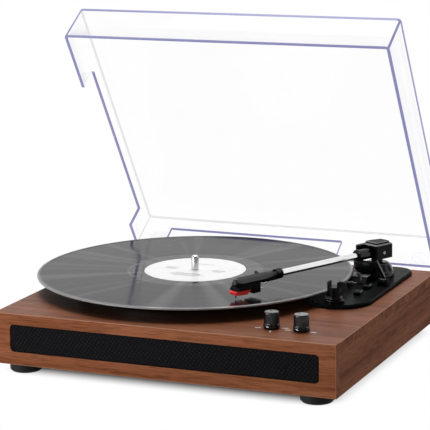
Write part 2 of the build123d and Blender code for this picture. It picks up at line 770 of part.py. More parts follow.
PULLEY_FLANGE = (PULLEY_H - BELT_W) / 2 - BELT_FIT
PULLEY_FLANGE_R = PULLEY_D / 2 + BELT_T + BELT_FIT

with BuildPart() as motor_pulley:
    with BuildSketch(upright(MOTOR_X, MOTOR_Y)):
        Polygon(
            (MOTOR_SHAFT_D / 2, PULLEY_Z),
            (PULLEY_FLANGE_R, PULLEY_Z),
            (PULLEY_FLANGE_R, PULLEY_Z + PULLEY_FLANGE),
            (PULLEY_D / 2, PULLEY_Z + PULLEY_FLANGE),
            (PULLEY_D / 2, PULLEY_Z + PULLEY_H - PULLEY_FLANGE),
            (PULLEY_FLANGE_R, PULLEY_Z + PULLEY_H - PULLEY_FLANGE),
            (PULLEY_FLANGE_R, PULLEY_Z + PULLEY_H),
            (MOTOR_SHAFT_D / 2, PULLEY_Z + PULLEY_H),
            align=None,
        )
    revolve(axis=vertical(MOTOR_X, MOTOR_Y))
keep(motor_pulley, "motor_pulley")

with BuildPart() as drive_belt:
    for grow, mode in ((BELT_T, Mode.ADD), (0, Mode.SUBTRACT)):
        with BuildSketch(Plane.XY.offset(BELT_Z)):
            with BuildLine():
                CenterArc((SPINDLE_X, SPINDLE_Y), RIM_R + BELT_FIT + grow, 0, 360)
                CenterArc((MOTOR_X, MOTOR_Y), PULLEY_D / 2 + BELT_FIT + grow, 0, 360)
            make_hull()
        extrude(amount=BELT_W, mode=mode)
keep(drive_belt, "drive_belt")

# Deck plate and what is fixed to it
ARM_BUSH_TOP = DECK_Z + TOWER_H + ARM_BUSH_STAND
SLOT_L = SWITCH_STEM_L + SWITCH_TRAVEL + 2 * SWITCH_STEM_PLAY
SLOT_W = SWITCH_STEM_W + 2 * SWITCH_STEM_PLAY

with BuildPart() as deck_plate:
    with BuildSketch(Plane.XY.offset(TOP_Z)) as deck_outline:
        with Locations((DECK_X, (DECK_NOSE + DECK_REAR) / 2)):
            Rectangle(DECK_W, DECK_REAR - DECK_NOSE)
        fillet(deck_outline.vertices().group_by(Axis.Y)[-1], DECK_REAR_R)
        with Locations((DECK_X, DECK_NOSE)):
            Circle(DECK_W / 2)
        with Locations((PIVOT_X, PIVOT_Y)):
            Circle(ARM_BUSH_D / 2, mode=Mode.SUBTRACT)
        with Locations(LIFT_POST):
            Circle(LIFT_POST_D / 2 + LIFT_POST_PLAY, mode=Mode.SUBTRACT)
        with Locations(*[(SWITCH_X, y) for y in SWITCH_YS]):
            Rectangle(SLOT_W, SLOT_L, mode=Mode.SUBTRACT)
    extrude(amount=DECK_T)
    rim = deck_plate.faces().sort_by(Axis.Z)[-1].outer_wire().edges()
    chamfer(rim, DECK_CHAMFER)
    with Locations(*[(x, y, DECK_Z) for x, y in DECK_SCREWS]):
        CounterBoreHole(DECK_SCREW_D / 2, DECK_SCREW_HEAD_D / 2 + SCREW_HEAD_PLAY, DECK_SCREW_HEAD_T)
keep(deck_plate, "deck_plate")

with BuildPart() as deck_screws:
    with BuildSketch(Plane.XY.offset(DECK_Z)):
        with Locations(*DECK_SCREWS):
            Circle(DECK_SCREW_HEAD_D / 2)
    extrude(amount=-DECK_SCREW_HEAD_T)
    with BuildSketch(Plane.XY.offset(DECK_Z - DECK_SCREW_HEAD_T)):
        with Locations(*DECK_SCREWS):
            Circle(DECK_SCREW_D / 2)
    extrude(amount=DECK_SCREW_HEAD_T - DECK_T - DECK_SCREW_GRIP)
keep(deck_screws, "deck_screws")

with BuildPart() as arm_tower:
    with BuildSketch(upright(PIVOT_X, PIVOT_Y)):
        with BuildLine():
            foot = Line((ARM_BUSH_D / 2, DECK_Z), (TOWER_D / 2, DECK_Z))
            flank = TangentArc((TOWER_D / 2, DECK_Z), (TOWER_TOP_D / 2, DECK_Z + TOWER_H), tangent=(0, 1))
            Polyline(flank @ 1, (ARM_BUSH_D / 2, DECK_Z + TOWER_H), foot @ 0)
        make_face()
    revolve(axis=vertical(PIVOT_X, PIVOT_Y))
keep(arm_tower, "arm_tower")

with BuildPart() as arm_bush:
    with BuildSketch(Plane.XY.offset(TOP_Z)):
        with Locations((PIVOT_X, PIVOT_Y)):
            Circle(ARM_BUSH_D / 2)
            Circle(ARM_SHAFT_D / 2 + SHAFT_PLAY, mode=Mode.SUBTRACT)
    extrude(amount=ARM_BUSH_TOP - TOP_Z)
keep(arm_bush, "arm_bush")

with BuildPart() as lift_housing:
    with BuildSketch(Plane.XY.offset(DECK_Z)):
        with Locations((LIFT_POST[0], LIFT_POST[1] + (LIFT_BLOCK_REAR - LIFT_BLOCK_FRONT) / 2)):
            Rectangle(LIFT_BLOCK_W, LIFT_BLOCK_REAR + LIFT_BLOCK_FRONT)
    extrude(amount=LIFT_BLOCK_H)
    with BuildSketch(Plane.XY.offset(DECK_Z)):
        with Locations((PIVOT_X, PIVOT_Y)):
            Circle(TOWER_D / 2 + LIFT_BLOCK_PLAY)
    extrude(amount=LIFT_BLOCK_H, mode=Mode.SUBTRACT)
    nose = lift_housing.edges().filter_by(Axis.X).group_by(Axis.Z)[-1].sort_by(Axis.Y)[0]
    chamfer(nose, LIFT_BLOCK_SLOPE)
    with Locations((LIFT_POST[0], LIFT_POST[1], DECK_Z + LIFT_BLOCK_H)):
        Hole(LIFT_POST_D / 2 + LIFT_POST_PLAY)
keep(lift_housing, "lift_housing")

# Cueing lift: a curved rail about the arm's pivot, on a post that slides in its block
RAIL_TOP = TUBE_Z - SLEEVE_D / 2 - LIFT_GAP
RAIL_BOTTOM = RAIL_TOP - LIFT_H

with BuildPart() as lift_rail:
    with BuildSketch(Plane.XY.offset(RAIL_BOTTOM)):
        with BuildLine():
            CenterArc((PIVOT_X, PIVOT_Y), LIFT_R, LIFT_START, LIFT_END - LIFT_START)
        trace(line_width=LIFT_T)
    extrude(amount=LIFT_H)
    with BuildSketch(Plane.XY.offset(RAIL_BOTTOM)):
        with Locations(LIFT_POST):
            Circle(LIFT_POST_D / 2)
    extrude(amount=-(RAIL_BOTTOM - DECK_Z) - LIFT_POST_BELOW)
keep(lift_rail, "lift_rail")

# Cueing lever on a pin between two ears
LEVER_X = RIGHT_X - LEVER_RIGHT_INSET
LEVER_Y = FRONT_Y + LEVER_FRONT
LEVER_Z = DECK_Z + LEVER_AXIS_H
LEVER_SIDE = Plane(origin=(LEVER_X, LEVER_Y, LEVER_Z), x_dir=(0, 1, 0), z_dir=(1, 0, 0))
LEVER_FACE = Plane(origin=(LEVER_X, LEVER_Y, LEVER_Z), x_dir=(1, 0, 0), z_dir=(0, -1, 0))
EAR_AT = LEVER_HUB_W / 2 + LEVER_SIDE_PLAY

with BuildPart() as lever_bracket:
    for side in (-1, 1):
        with BuildSketch(LEVER_SIDE.offset(side * EAR_AT)):
            Circle(LEVER_HUB_D / 2)
            with Locations((0, -LEVER_AXIS_H / 2)):
                Rectangle(LEVER_HUB_D, LEVER_AXIS_H)
        extrude(amount=side * LEVER_EAR_T)
    with BuildSketch(LEVER_SIDE.offset(-EAR_AT)):
        Circle(LEVER_PIN_D / 2)
    extrude(amount=2 * EAR_AT)
keep(lever_bracket, "lever_bracket")

HALF_BAR = LEVER_BAR_W / 2
LEVER_RISE = LEVER_L + LEVER_ROOT_L

with BuildPart() as cue_lever:
    with BuildSketch(LEVER_SIDE):
        Circle(LEVER_HUB_D / 2)
    extrude(amount=LEVER_HUB_W / 2, both=True)
    with BuildSketch(LEVER_FACE):
        Polygon(
            (-HALF_BAR, 0),
            (HALF_BAR, 0),
            (HALF_BAR, LEVER_ROOT_L),
            (HALF_BAR - LEVER_LEAN, LEVER_RISE),
            (-HALF_BAR - LEVER_LEAN, LEVER_RISE),
            (-HALF_BAR, LEVER_ROOT_L),
            align=None,
        )
    extrude(amount=HALF_BAR, both=True)
    with BuildSketch(LEVER_SIDE.offset(-LEVER_HUB_W / 2)):
        Circle(LEVER_PIN_D / 2 + LEVER_PIN_PLAY)
    extrude(amount=LEVER_HUB_W, mode=Mode.SUBTRACT)
keep(cue_lever, "cue_lever")

# Arm rest: a post with a slot for the parked tube, and a clip hinged on its outer side
REST_FLOOR = TUBE_Z - REST_FLOOR_DROP
SLOT_R = TUBE_D / 2 + REST_SLOT_PLAY
REST_TOP = TUBE_Z - REST_EAR_DROP
CLIP_AXIS = Plane(
    origin=PARKED.from_local_coords((0, CLIP_PIN_SIDE, -CLIP_PIN_DROP)),
    x_dir=PARKED.y_dir,
    z_dir=PARKED.x_dir,
)
LUG_FACE = -CLIP_BACK + CLIP_W / 2 + CLIP_SIDE_PLAY

with BuildPart() as arm_rest:
    with BuildSketch(Plane.XY.offset(DECK_Z)):
        with Locations((REST_X, REST_Y)):
            Circle(REST_FOOT_D / 2)
    extrude(amount=REST_FOOT_T)
    with BuildSketch(Plane.XY.offset(DECK_Z)):
        with Locations((REST_X, REST_Y)):
            Circle(REST_POST_D / 2)
    extrude(amount=REST_TOP - DECK_Z)
    with BuildSketch(PARKED.offset(REST_FLOOR - TUBE_Z)):
        Rectangle(2 * REST_POST_D, 2 * SLOT_R)
    extrude(amount=REST_TOP - REST_FLOOR, mode=Mode.SUBTRACT)
    with BuildSketch(CLIP_AXIS.offset(LUG_FACE)):
        Circle(CLIP_KNUCKLE_D / 2)
        with Locations((-CLIP_PIN_SIDE / 2 + SLOT_R / 2, 0)):
            Rectangle(CLIP_PIN_SIDE - SLOT_R, CLIP_KNUCKLE_D)
    extrude(amount=CLIP_LUG_T)
    with BuildSketch(CLIP_AXIS.offset(LUG_FACE)):
        Circle(CLIP_PIN_D / 2)
    extrude(amount=-CLIP_W - CLIP_SIDE_PLAY)
keep(arm_rest, "arm_rest")

CLIP_R = TUBE_D / 2 + CLIP_PLAY + CLIP_T / 2
CLIP_COS = math.cos(math.radians(CLIP_OPEN))
CLIP_SIN = math.sin(math.radians(CLIP_OPEN))
OPEN_CLIP = Plane(
    origin=CLIP_AXIS.from_local_coords((0, 0, -CLIP_BACK)),
    x_dir=CLIP_AXIS.x_dir * CLIP_COS - CLIP_AXIS.y_dir * CLIP_SIN,
    z_dir=CLIP_AXIS.z_dir,
)

with BuildPart() as rest_clip:
    with BuildSketch(OPEN_CLIP):
        with BuildLine():
            hook = CenterArc((-CLIP_PIN_SIDE, CLIP_PIN_DROP), CLIP_R, CLIP_FROM, CLIP_TO - CLIP_FROM)
            Line(hook @ 0, (0, 0))
        trace(line_width=CLIP_T)
        Circle(CLIP_KNUCKLE_D / 2)
        Circle(CLIP_PIN_D / 2 + CLIP_PIN_PLAY, mode=Mode.SUBTRACT)
    extrude(amount=CLIP_W / 2, both=True)
keep(rest_clip, "rest_clip")

# Slide switches: a knob on a stem through the plate, into a switch body below it
with BuildPart() as switch_bodies:
    with BuildSketch(Plane.XY.offset(TOP_Z)):
        with Locations(*[(SWITCH_X, y) for y in SWITCH_YS]):
            Rectangle(SWITCH_BODY_W, SWITCH_BODY_L)
            Rectangle(SLOT_W, SLOT_L, mode=Mode.SUBTRACT)
    extrude(amount=-SWITCH_BODY_H)
keep(switch_bodies, "switch_bodies")

SPEED_Y = SWITCH_YS[0] - SWITCH_TRAVEL / 2
AUTO_STOP_Y = SWITCH_YS[1] + SWITCH_TRAVEL / 2

for name, y in (("speed_switch", SPEED_Y), ("auto_stop_switch", AUTO_STOP_Y)):
    with BuildPart() as switch_knob:
        with BuildSketch(Plane.XY.offset(DECK_Z + SWITCH_KNOB_GAP)):
            with Locations((SWITCH_X, y)):
                Rectangle(SWITCH_KNOB_W, SWITCH_KNOB_L)
        extrude(amount=SWITCH_KNOB_H)
        top = switch_knob.faces().sort_by(Axis.Z)[-1].edges()
        chamfer(top, SWITCH_KNOB_CHAMFER)
        with BuildSketch(Plane.XY.offset(DECK_Z + SWITCH_KNOB_GAP)):
            with Locations((SWITCH_X, y)):
                Rectangle(SWITCH_STEM_W, SWITCH_STEM_L)
        extrude(amount=-SWITCH_KNOB_GAP - DECK_T - SWITCH_BODY_H + SWITCH_STEM_SHORT)
    keep(switch_knob, name)

# Control knobs, each on a stem that turns in its control below the board
with BuildPart() as pot_bodies:
    with BuildSketch(Plane.XY.offset(UNDER_Z)):
        with Locations(*POTS):
            Circle(POT_D / 2)
    extrude(amount=-POT_H)
    with BuildSketch(Plane.XY.offset(UNDER_Z)):
        with Locations(*POTS):
            Circle(POT_BUSH_D / 2)
    extrude(amount=BOARD_T)
    with BuildSketch(Plane.XY.offset(TOP_Z)):
        with Locations(*POTS):
            Circle(KNOB_STEM_D / 2 + KNOB_STEM_PLAY)
    extrude(amount=-BOARD_T - POT_H + POT_FLOOR_T, mode=Mode.SUBTRACT)
keep(pot_bodies, "pot_bodies")

KNOB_Z = TOP_Z + KNOB_GAP
STEM_Z = TOP_Z - KNOB_STEM_DEPTH

for name, (x, y) in zip(("selector_knob", "volume_knob"), POTS):
    with BuildPart() as knob:
        with BuildSketch(upright(x, y)):
            Polygon(
                (0, STEM_Z),
                (KNOB_STEM_D / 2, STEM_Z),
                (KNOB_STEM_D / 2, KNOB_Z),
                (KNOB_BASE_D / 2, KNOB_Z),
                (KNOB_BASE_D / 2, KNOB_Z + KNOB_BASE_H),
                (KNOB_D / 2, KNOB_Z + KNOB_BASE_H),
                (KNOB_TOP_D / 2, KNOB_Z + KNOB_H),
                (0, KNOB_Z + KNOB_H),
                align=None,
            )
        revolve(axis=vertical(x, y))
        edge = knob.faces().sort_by(Axis.Z)[-1].edges()
        fillet(edge, KNOB_EDGE_R)
    keep(knob, name)

# Arm carriage: turns on its shaft in the tower and holds the tilt pins
HUB_BOTTOM = ARM_BUSH_TOP + HOUSING_GAP
HOUSING_L = HOUSING_FRONT + HOUSING_REAR
HOUSING_MID = (HOUSING_FRONT - HOUSING_REAR) / 2
INNER_W = HOUSING_W - 2 * HOUSING_WALL
PORT_R = SLEEVE_D / 2 + SLEEVE_PORT_PLAY

with BuildPart() as arm_housing:
    with BuildSketch(ARM.offset(-HOUSING_BELOW)):
        with Locations((HOUSING_MID, 0)):
            Rectangle(HOUSING_L, HOUSING_W)
    extrude(amount=HOUSING_BELOW + HOUSING_ABOVE)
    corners = arm_housing.edges().filter_by(Axis.Z)
    fillet(corners, HOUSING_WALL)
    with BuildSketch(ARM.offset(HOUSING_WALL - HOUSING_BELOW)):
        with Locations((HOUSING_MID, 0)):
            Rectangle(HOUSING_L - 2 * HOUSING_WALL, INNER_W)
    extrude(amount=HOUSING_BELOW + HOUSING_ABOVE - HOUSING_WALL, mode=Mode.SUBTRACT)
    with BuildSketch(ARM.offset(-HOUSING_BELOW)):
        with Locations(((HOUSING_FRONT + HOUSING_FLOOR_FRONT) / 2, 0)):
            Rectangle(HOUSING_FRONT - HOUSING_FLOOR_FRONT, INNER_W)
    extrude(amount=HOUSING_BELOW, mode=Mode.SUBTRACT)
    with BuildSketch(across(ARM, HOUSING_FRONT)):
        Circle(PORT_R)
    extrude(amount=-2 * HOUSING_WALL, mode=Mode.SUBTRACT)
    with BuildSketch(Plane.XY.offset(HUB_BOTTOM)):
        with Locations((PIVOT_X, PIVOT_Y)):
            Circle(HOUSING_HUB_D / 2)
    extrude(amount=TUBE_Z - HOUSING_BELOW + HOUSING_WALL - HUB_BOTTOM)
    with BuildSketch(Plane.XY.offset(HUB_BOTTOM)):
        with Locations((PIVOT_X, PIVOT_Y)):
            Circle(ARM_SHAFT_D / 2)
    extrude(amount=TUBE_Z - HOUSING_BELOW + HOUSING_WALL - HUB_BOTTOM, mode=Mode.SUBTRACT)
    for side in (-1, 1):
        with BuildSketch(beside(ARM).offset(side * HOUSING_W / 2)):
            Circle(GIMBAL_PIN_D / 2)
        extrude(amount=-side * 2 * HOUSING_WALL, mode=Mode.SUBTRACT)
keep(arm_housing, "arm_housing")

with BuildPart() as housing_cap:
    with BuildSketch(ARM.offset(HOUSING_ABOVE)):
        with Locations((HOUSING_MID, 0)):
            RectangleRounded(HOUSING_L, HOUSING_W, HOUSING_WALL)
    extrude(amount=CAP_T)
    rim = housing_cap.faces().sort_by(Axis.Z)[-1].edges()
    chamfer(rim, CAP_BEVEL)
    with BuildSketch(ARM.offset(HOUSING_ABOVE + CAP_T)):
        Rectangle(CAP_PLATE_W, CAP_PLATE_W)
    extrude(amount=CAP_PLATE_T)
keep(housing_cap, "housing_cap")

with BuildPart() as arm_shaft:
    with BuildSketch(ARM.offset(HOUSING_WALL - HOUSING_BELOW)):
        Circle(ARM_SHAFT_D / 2)
    extrude(amount=DECK_Z + TOWER_H - ARM_SHAFT_DEPTH - TUBE_Z + HOUSING_BELOW - HOUSING_WALL)
keep(arm_shaft, "arm_shaft")

with BuildPart() as gimbal_pins:
    for side in (-1, 1):
        with BuildSketch(beside(ARM).offset(side * HOUSING_W / 2)):
            Circle(GIMBAL_PIN_D / 2)
        extrude(amount=-side * (HOUSING_WALL + BLOCK_SIDE_PLAY + GIMBAL_PIN_BITE))
keep(gimbal_pins, "gimbal_pins")

# Tilting arm: block and sleeve, tube, head, cartridge and stylus
BLOCK_W = INNER_W - 2 * BLOCK_SIDE_PLAY
PIN_BORE_L = GIMBAL_PIN_BITE + END_PLAY

with BuildPart() as arm_sleeve:
    with BuildSketch(ARM.offset(-BLOCK_H / 2)):
        with Locations(((BLOCK_FRONT - BLOCK_REAR) / 2, 0)):
            Rectangle(BLOCK_FRONT + BLOCK_REAR, BLOCK_W)
    extrude(amount=BLOCK_H)
    with BuildSketch(across(ARM, BLOCK_FRONT)):
        Circle(SLEEVE_D / 2)
    extrude(amount=SLEEVE_END - BLOCK_FRONT)
    with BuildSketch(across(ARM, BLOCK_FRONT)):
        Circle(TUBE_D / 2)
    extrude(amount=SLEEVE_END - BLOCK_FRONT, mode=Mode.SUBTRACT)
    for side in (-1, 1):
        with BuildSketch(beside(ARM).offset(side * BLOCK_W / 2)):
            Circle(GIMBAL_PIN_D / 2 + GIMBAL_PLAY)
        extrude(amount=-side * PIN_BORE_L, mode=Mode.SUBTRACT)
keep(arm_sleeve, "arm_sleeve")

HEAD_COLLAR_END = COLLAR_START + HEAD_COLLAR_L

with BuildPart() as arm_tube:
    with BuildSketch(across(ARM, BLOCK_FRONT)):
        Circle(TUBE_D / 2)
        Circle(TUBE_D / 2 - TUBE_WALL, mode=Mode.SUBTRACT)
    extrude(amount=HEAD_COLLAR_END - BLOCK_FRONT)
keep(arm_tube, "arm_tube")

with BuildPart() as headshell:
    with BuildSketch(across(ARM, COLLAR_START)):
        Circle(HEAD_COLLAR_D / 2)
        Circle(TUBE_D / 2, mode=Mode.SUBTRACT)
    extrude(amount=HEAD_COLLAR_L)
    with BuildSketch(ARM.offset(-HEAD_BELOW)):
        Polygon(
            (HEAD_COLLAR_END, -HEAD_NECK_W / 2),
            (HEAD_NECK_END, -HEAD_W / 2),
            (HEAD_TIP - HEAD_NOSE_CUT, -HEAD_W / 2),
            (HEAD_TIP, HEAD_NOSE_CUT - HEAD_W / 2),
            (HEAD_TIP, HEAD_W / 2 - HEAD_NOSE_CUT),
            (HEAD_TIP - HEAD_NOSE_CUT, HEAD_W / 2),
            (HEAD_NECK_END, HEAD_W / 2),
            (HEAD_COLLAR_END, HEAD_NECK_W / 2),
            align=None,
        )
    extrude(amount=HEAD_ABOVE + HEAD_BELOW)
    with BuildSketch(ARM.offset(HEAD_ABOVE - FINGER_LIFT_T)):
        with Locations((FINGER_LIFT_AT, -HEAD_NECK_W / 2 - FINGER_LIFT_L / 2)):
            Rectangle(FINGER_LIFT_W, FINGER_LIFT_L)
    extrude(amount=FINGER_LIFT_T)
keep(headshell, "headshell")

with BuildPart() as cartridge:
    with BuildSketch(beside(ARM)):
        Polygon(
            (CARTRIDGE_REAR, -HEAD_BELOW),
            (CARTRIDGE_REAR, -CARTRIDGE_REAR_BELOW),
            (CARTRIDGE_STEP, -CARTRIDGE_REAR_BELOW),
            (CARTRIDGE_STEP, -CARTRIDGE_BELOW),
            (CARTRIDGE_FRONT, -CARTRIDGE_BELOW),
            (CARTRIDGE_FRONT, -HEAD_BELOW),
            align=None,
        )
    extrude(amount=CARTRIDGE_W / 2, both=True)
keep(cartridge, "cartridge")

NEEDLE_AT = around(ARM_HEADING, ARM_LENGTH)

with BuildPart() as stylus:
    with BuildSketch(beside(ARM)):
        Polygon(
            (CARTRIDGE_STEP + STYLUS_FIT, -CARTRIDGE_BELOW),
            (CARTRIDGE_STEP + STYLUS_FIT, -STYLUS_REAR_BELOW),
            (ARM_LENGTH, -STYLUS_BELOW),
            (STYLUS_FRONT, -STYLUS_FRONT_BELOW),
            (STYLUS_FRONT, -CARTRIDGE_BELOW),
            align=None,
        )
    extrude(amount=STYLUS_W / 2, both=True)
    with BuildSketch(upright(*NEEDLE_AT)):
        Polygon(
            (0, RECORD_TOP + NEEDLE_GAP),
            (NEEDLE_TIP_D / 2, RECORD_TOP + NEEDLE_GAP),
            (NEEDLE_D / 2, TUBE_Z - STYLUS_BELOW),
            (NEEDLE_D / 2, TUBE_Z - CARTRIDGE_BELOW - STYLUS_FIT),
            (0, TUBE_Z - CARTRIDGE_BELOW - STYLUS_FIT),
            align=None,
        )
    revolve(axis=vertical(*NEEDLE_AT))
keep(stylus, "stylus")

# Sockets in their panel on the back, and the amplifier board behind them
RCA_AT = [(-2 * JACK_PITCH, PANEL_Z), (-JACK_PITCH, PANEL_Z)]
AUX_AT = (JACK_PITCH, PANEL_Z)
POWER_AT = (2 * JACK_PITCH, PANEL_Z)

HOLES = [(spot, RCA_SEAT_D) for spot in RCA_AT] + [(AUX_AT, AUX_D), (POWER_AT, POWER_D)]

with BuildPart() as jack_panel:
    with BuildSketch(BACK):
        with Locations((0, PANEL_Z)):
            RectangleRounded(PANEL_W, PANEL_H, PANEL_R)
        for spot, wide in HOLES:
            with Locations(spot):
                Circle(wide / 2, mode=Mode.SUBTRACT)
    extrude(amount=PANEL_T)
keep(jack_panel, "jack_panel")

with BuildPart() as rca_jacks:
    with BuildSketch(BACK.offset(-RCA_BODY_L)):
        with Locations(*RCA_AT):
            Circle(JACK_BODY_D / 2)
    extrude(amount=RCA_BODY_L)
    with BuildSketch(BACK):
        with Locations(*RCA_AT):
            Circle(RCA_SEAT_D / 2)
    extrude(amount=PANEL_T)
    with BuildSketch(BACK.offset(PANEL_T)):
        with Locations(*RCA_AT):
            Circle(RCA_D / 2)
    extrude(amount=RCA_REACH)
    with BuildSketch(BACK.offset(PANEL_T + RCA_REACH)):
        with Locations(*RCA_AT):
            Circle(RCA_BORE_D / 2)
    extrude(amount=-RCA_REACH - PANEL_T, mode=Mode.SUBTRACT)
keep(rca_jacks, "rca_jacks")

with BuildPart() as aux_jack:
    with BuildSketch(BACK.offset(-AUX_BODY_L)):
        with Locations(AUX_AT):
            Circle(JACK_BODY_D / 2)
    extrude(amount=AUX_BODY_L)
    with BuildSketch(BACK):
        with Locations(AUX_AT):
            Circle(AUX_D / 2)
    extrude(amount=PANEL_T + AUX_REACH)
    with BuildSketch(BACK.offset(PANEL_T + AUX_REACH)):
        with Locations(AUX_AT):
            Circle(AUX_BORE_D / 2)
    extrude(amount=-AUX_REACH - PANEL_T - AUX_BODY_L, mode=Mode.SUBTRACT)
keep(aux_jack, "aux_jack")

with BuildPart() as power_jack:
    with BuildSketch(BACK.offset(-POWER_BODY_L)):
        with Locations(POWER_AT):
            Circle(JACK_BODY_D / 2)
    extrude(amount=POWER_BODY_L)
    with BuildSketch(BACK):
        with Locations(POWER_AT):
            Circle(POWER_D / 2)
    extrude(amount=PANEL_T + POWER_REACH)
    with BuildSketch(BACK.offset(PANEL_T + POWER_REACH)):
        with Locations(POWER_AT):
            Circle(POWER_BORE_D / 2)
            Circle(POWER_PIN_D / 2, mode=Mode.SUBTRACT)
    extrude(amount=-POWER_REACH - POWER_BODY_L, mode=Mode.SUBTRACT)
keep(power_jack, "power_jack")

PCB_Z = FLOOR_Z + STANDOFF_H
PCB_Y = REAR_Y - BOARD_T - PCB_GAP - PCB_L / 2

with BuildPart() as board_standoffs:
    with BuildSketch(Plane.XY.offset(FLOOR_Z)):
        with Locations((PLINTH_X, PCB_Y)):
            with GridLocations(PCB_W - 2 * STANDOFF_INSET, PCB_L - 2 * STANDOFF_INSET, 2, 2):
                Circle(STANDOFF_D / 2)
    extrude(amount=STANDOFF_H)
keep(board_standoffs, "board_standoffs")

with BuildPart() as amplifier_board:
    with BuildSketch(Plane.XY.offset(PCB_Z)):
        with Locations((PLINTH_X, PCB_Y)):
            Rectangle(PCB_W, PCB_L)
    extrude(amount=PCB_T)
keep(amplifier_board, "amplifier_board")

# Dust cover, drawn in its own frame about the hinge line and so standing open
LID_MID = -LID_SETBACK - LID_D / 2
RECORD_BACK = HINGE_Y - SPINDLE_Y
RECORD_SIDE = SPINDLE_X - PLINTH_X


def chord(reach):
    """Half the width of the record at this distance from its centre."""
    return math.sqrt((RECORD_D / 2) ** 2 - reach**2)


SIDE_CHORD = chord(LID_W / 2 - LID_WALL + RECORD_SIDE)
REAR_CHORD = chord(RECORD_BACK - LID_SETBACK - LID_WALL)
SIDE_NOTCH_L = 2 * SIDE_CHORD + 2 * NOTCH_PLAY + NOTCH_REAR_EXTRA
REAR_NOTCH_L = 2 * REAR_CHORD + 2 * NOTCH_PLAY

with BuildPart() as dust_cover:
    with BuildSketch(LID.offset(LID_RIM)):
        with Locations((0, LID_MID)):
            RectangleRounded(LID_W, LID_D, LID_CORNER_R)
    extrude(amount=LID_H)
    with BuildSketch(LID.offset(LID_RIM)):
        with Locations((0, LID_MID)):
            RectangleRounded(LID_W - 2 * LID_WALL, LID_D - 2 * LID_WALL, LID_CORNER_R - LID_WALL)
    extrude(amount=LID_H - LID_WALL, mode=Mode.SUBTRACT)
    with BuildSketch(LID.offset(LID_RIM)):
        with Locations((-LID_W / 2, -RECORD_BACK + NOTCH_REAR_EXTRA / 2)):
            Rectangle(NOTCH_CUT_W, SIDE_NOTCH_L)
        with Locations((RECORD_SIDE, -LID_SETBACK)):
            Rectangle(REAR_NOTCH_L, NOTCH_CUT_W)
    extrude(amount=NOTCH_H, mode=Mode.SUBTRACT)
keep(dust_cover, "dust_cover")

# Hinges: two bases on the back, two leaves on the cover, and their pins
HINGE_XS = [side * HINGE_SPACING / 2 for side in (-1, 1)]
HINGE_LINE = Plane(origin=(PLINTH_X, HINGE_Y, HINGE_Z), x_dir=(0, 1, 0), z_dir=(1, 0, 0))
LID_LINE = Plane(origin=(PLINTH_X, HINGE_Y, HINGE_Z), x_dir=LID.y_dir, z_dir=(1, 0, 0))
EAR_MID = (HINGE_W - HINGE_EAR_T) / 2
LEAF_KNUCKLE_W = HINGE_W - 2 * HINGE_EAR_T - 2 * HINGE_SIDE_PLAY

with BuildPart() as hinge_bases:
    for x in HINGE_XS:
        with BuildSketch(HINGE_LINE.offset(x)):
            with Locations((HINGE_PLATE_T / 2 - HINGE_BACK, -HINGE_KNUCKLE_D / 2 - HINGE_PLATE_H / 2)):
                Rectangle(HINGE_PLATE_T, HINGE_PLATE_H)
        extrude(amount=HINGE_W / 2, both=True)
        for side in (-1, 1):
            with BuildSketch(HINGE_LINE.offset(x + side * EAR_MID)):
                Circle(HINGE_KNUCKLE_D / 2)
                with Locations((-HINGE_BACK / 2, -HINGE_KNUCKLE_D / 2)):
                    Rectangle(HINGE_BACK, HINGE_KNUCKLE_D)
                Circle(HINGE_PIN_D / 2, mode=Mode.SUBTRACT)
            extrude(amount=HINGE_EAR_T / 2, both=True)
keep(hinge_bases, "hinge_bases")

with BuildPart() as hinge_pins:
    for x in HINGE_XS:
        with BuildSketch(HINGE_LINE.offset(x)):
            Circle(HINGE_PIN_D / 2)
        extrude(amount=HINGE_W / 2, both=True)
keep(hinge_pins, "hinge_pins")

with BuildPart() as hinge_leaves:
    for x in HINGE_XS:
        with BuildSketch(LID_LINE.offset(x)):
            with Locations((LEAF_T / 2 - LID_SETBACK, LID_RIM + LEAF_START + LEAF_H / 2)):
                Rectangle(LEAF_T, LEAF_H)
        extrude(amount=HINGE_W / 2, both=True)
        with BuildSketch(LID_LINE.offset(x)):
            Circle(HINGE_KNUCKLE_D / 2)
            with Locations((LEAF_T - LID_SETBACK + LEAF_WEB_T / 2, (LID_RIM + LEAF_WEB_RISE) / 2)):
                Rectangle(LEAF_WEB_T, LID_RIM + LEAF_WEB_RISE)
            Circle(HINGE_PIN_D / 2 + HINGE_PIN_PLAY, mode=Mode.SUBTRACT)
        extrude(amount=LEAF_KNUCKLE_W / 2, both=True)
keep(hinge_leaves, "hinge_leaves")
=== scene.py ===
# %% [markdown]
# This file dresses a record player. The solids of the player come from a imported model in which every
# piece has its real place, so nothing is fitted by eye. We load that frame first, and the boxes of its
# solids give sizes further down. The dressed player has to stay inside it.

# %% Load the frame
import json
import math

import bpy
import numpy as np
from mathutils import Matrix, Vector


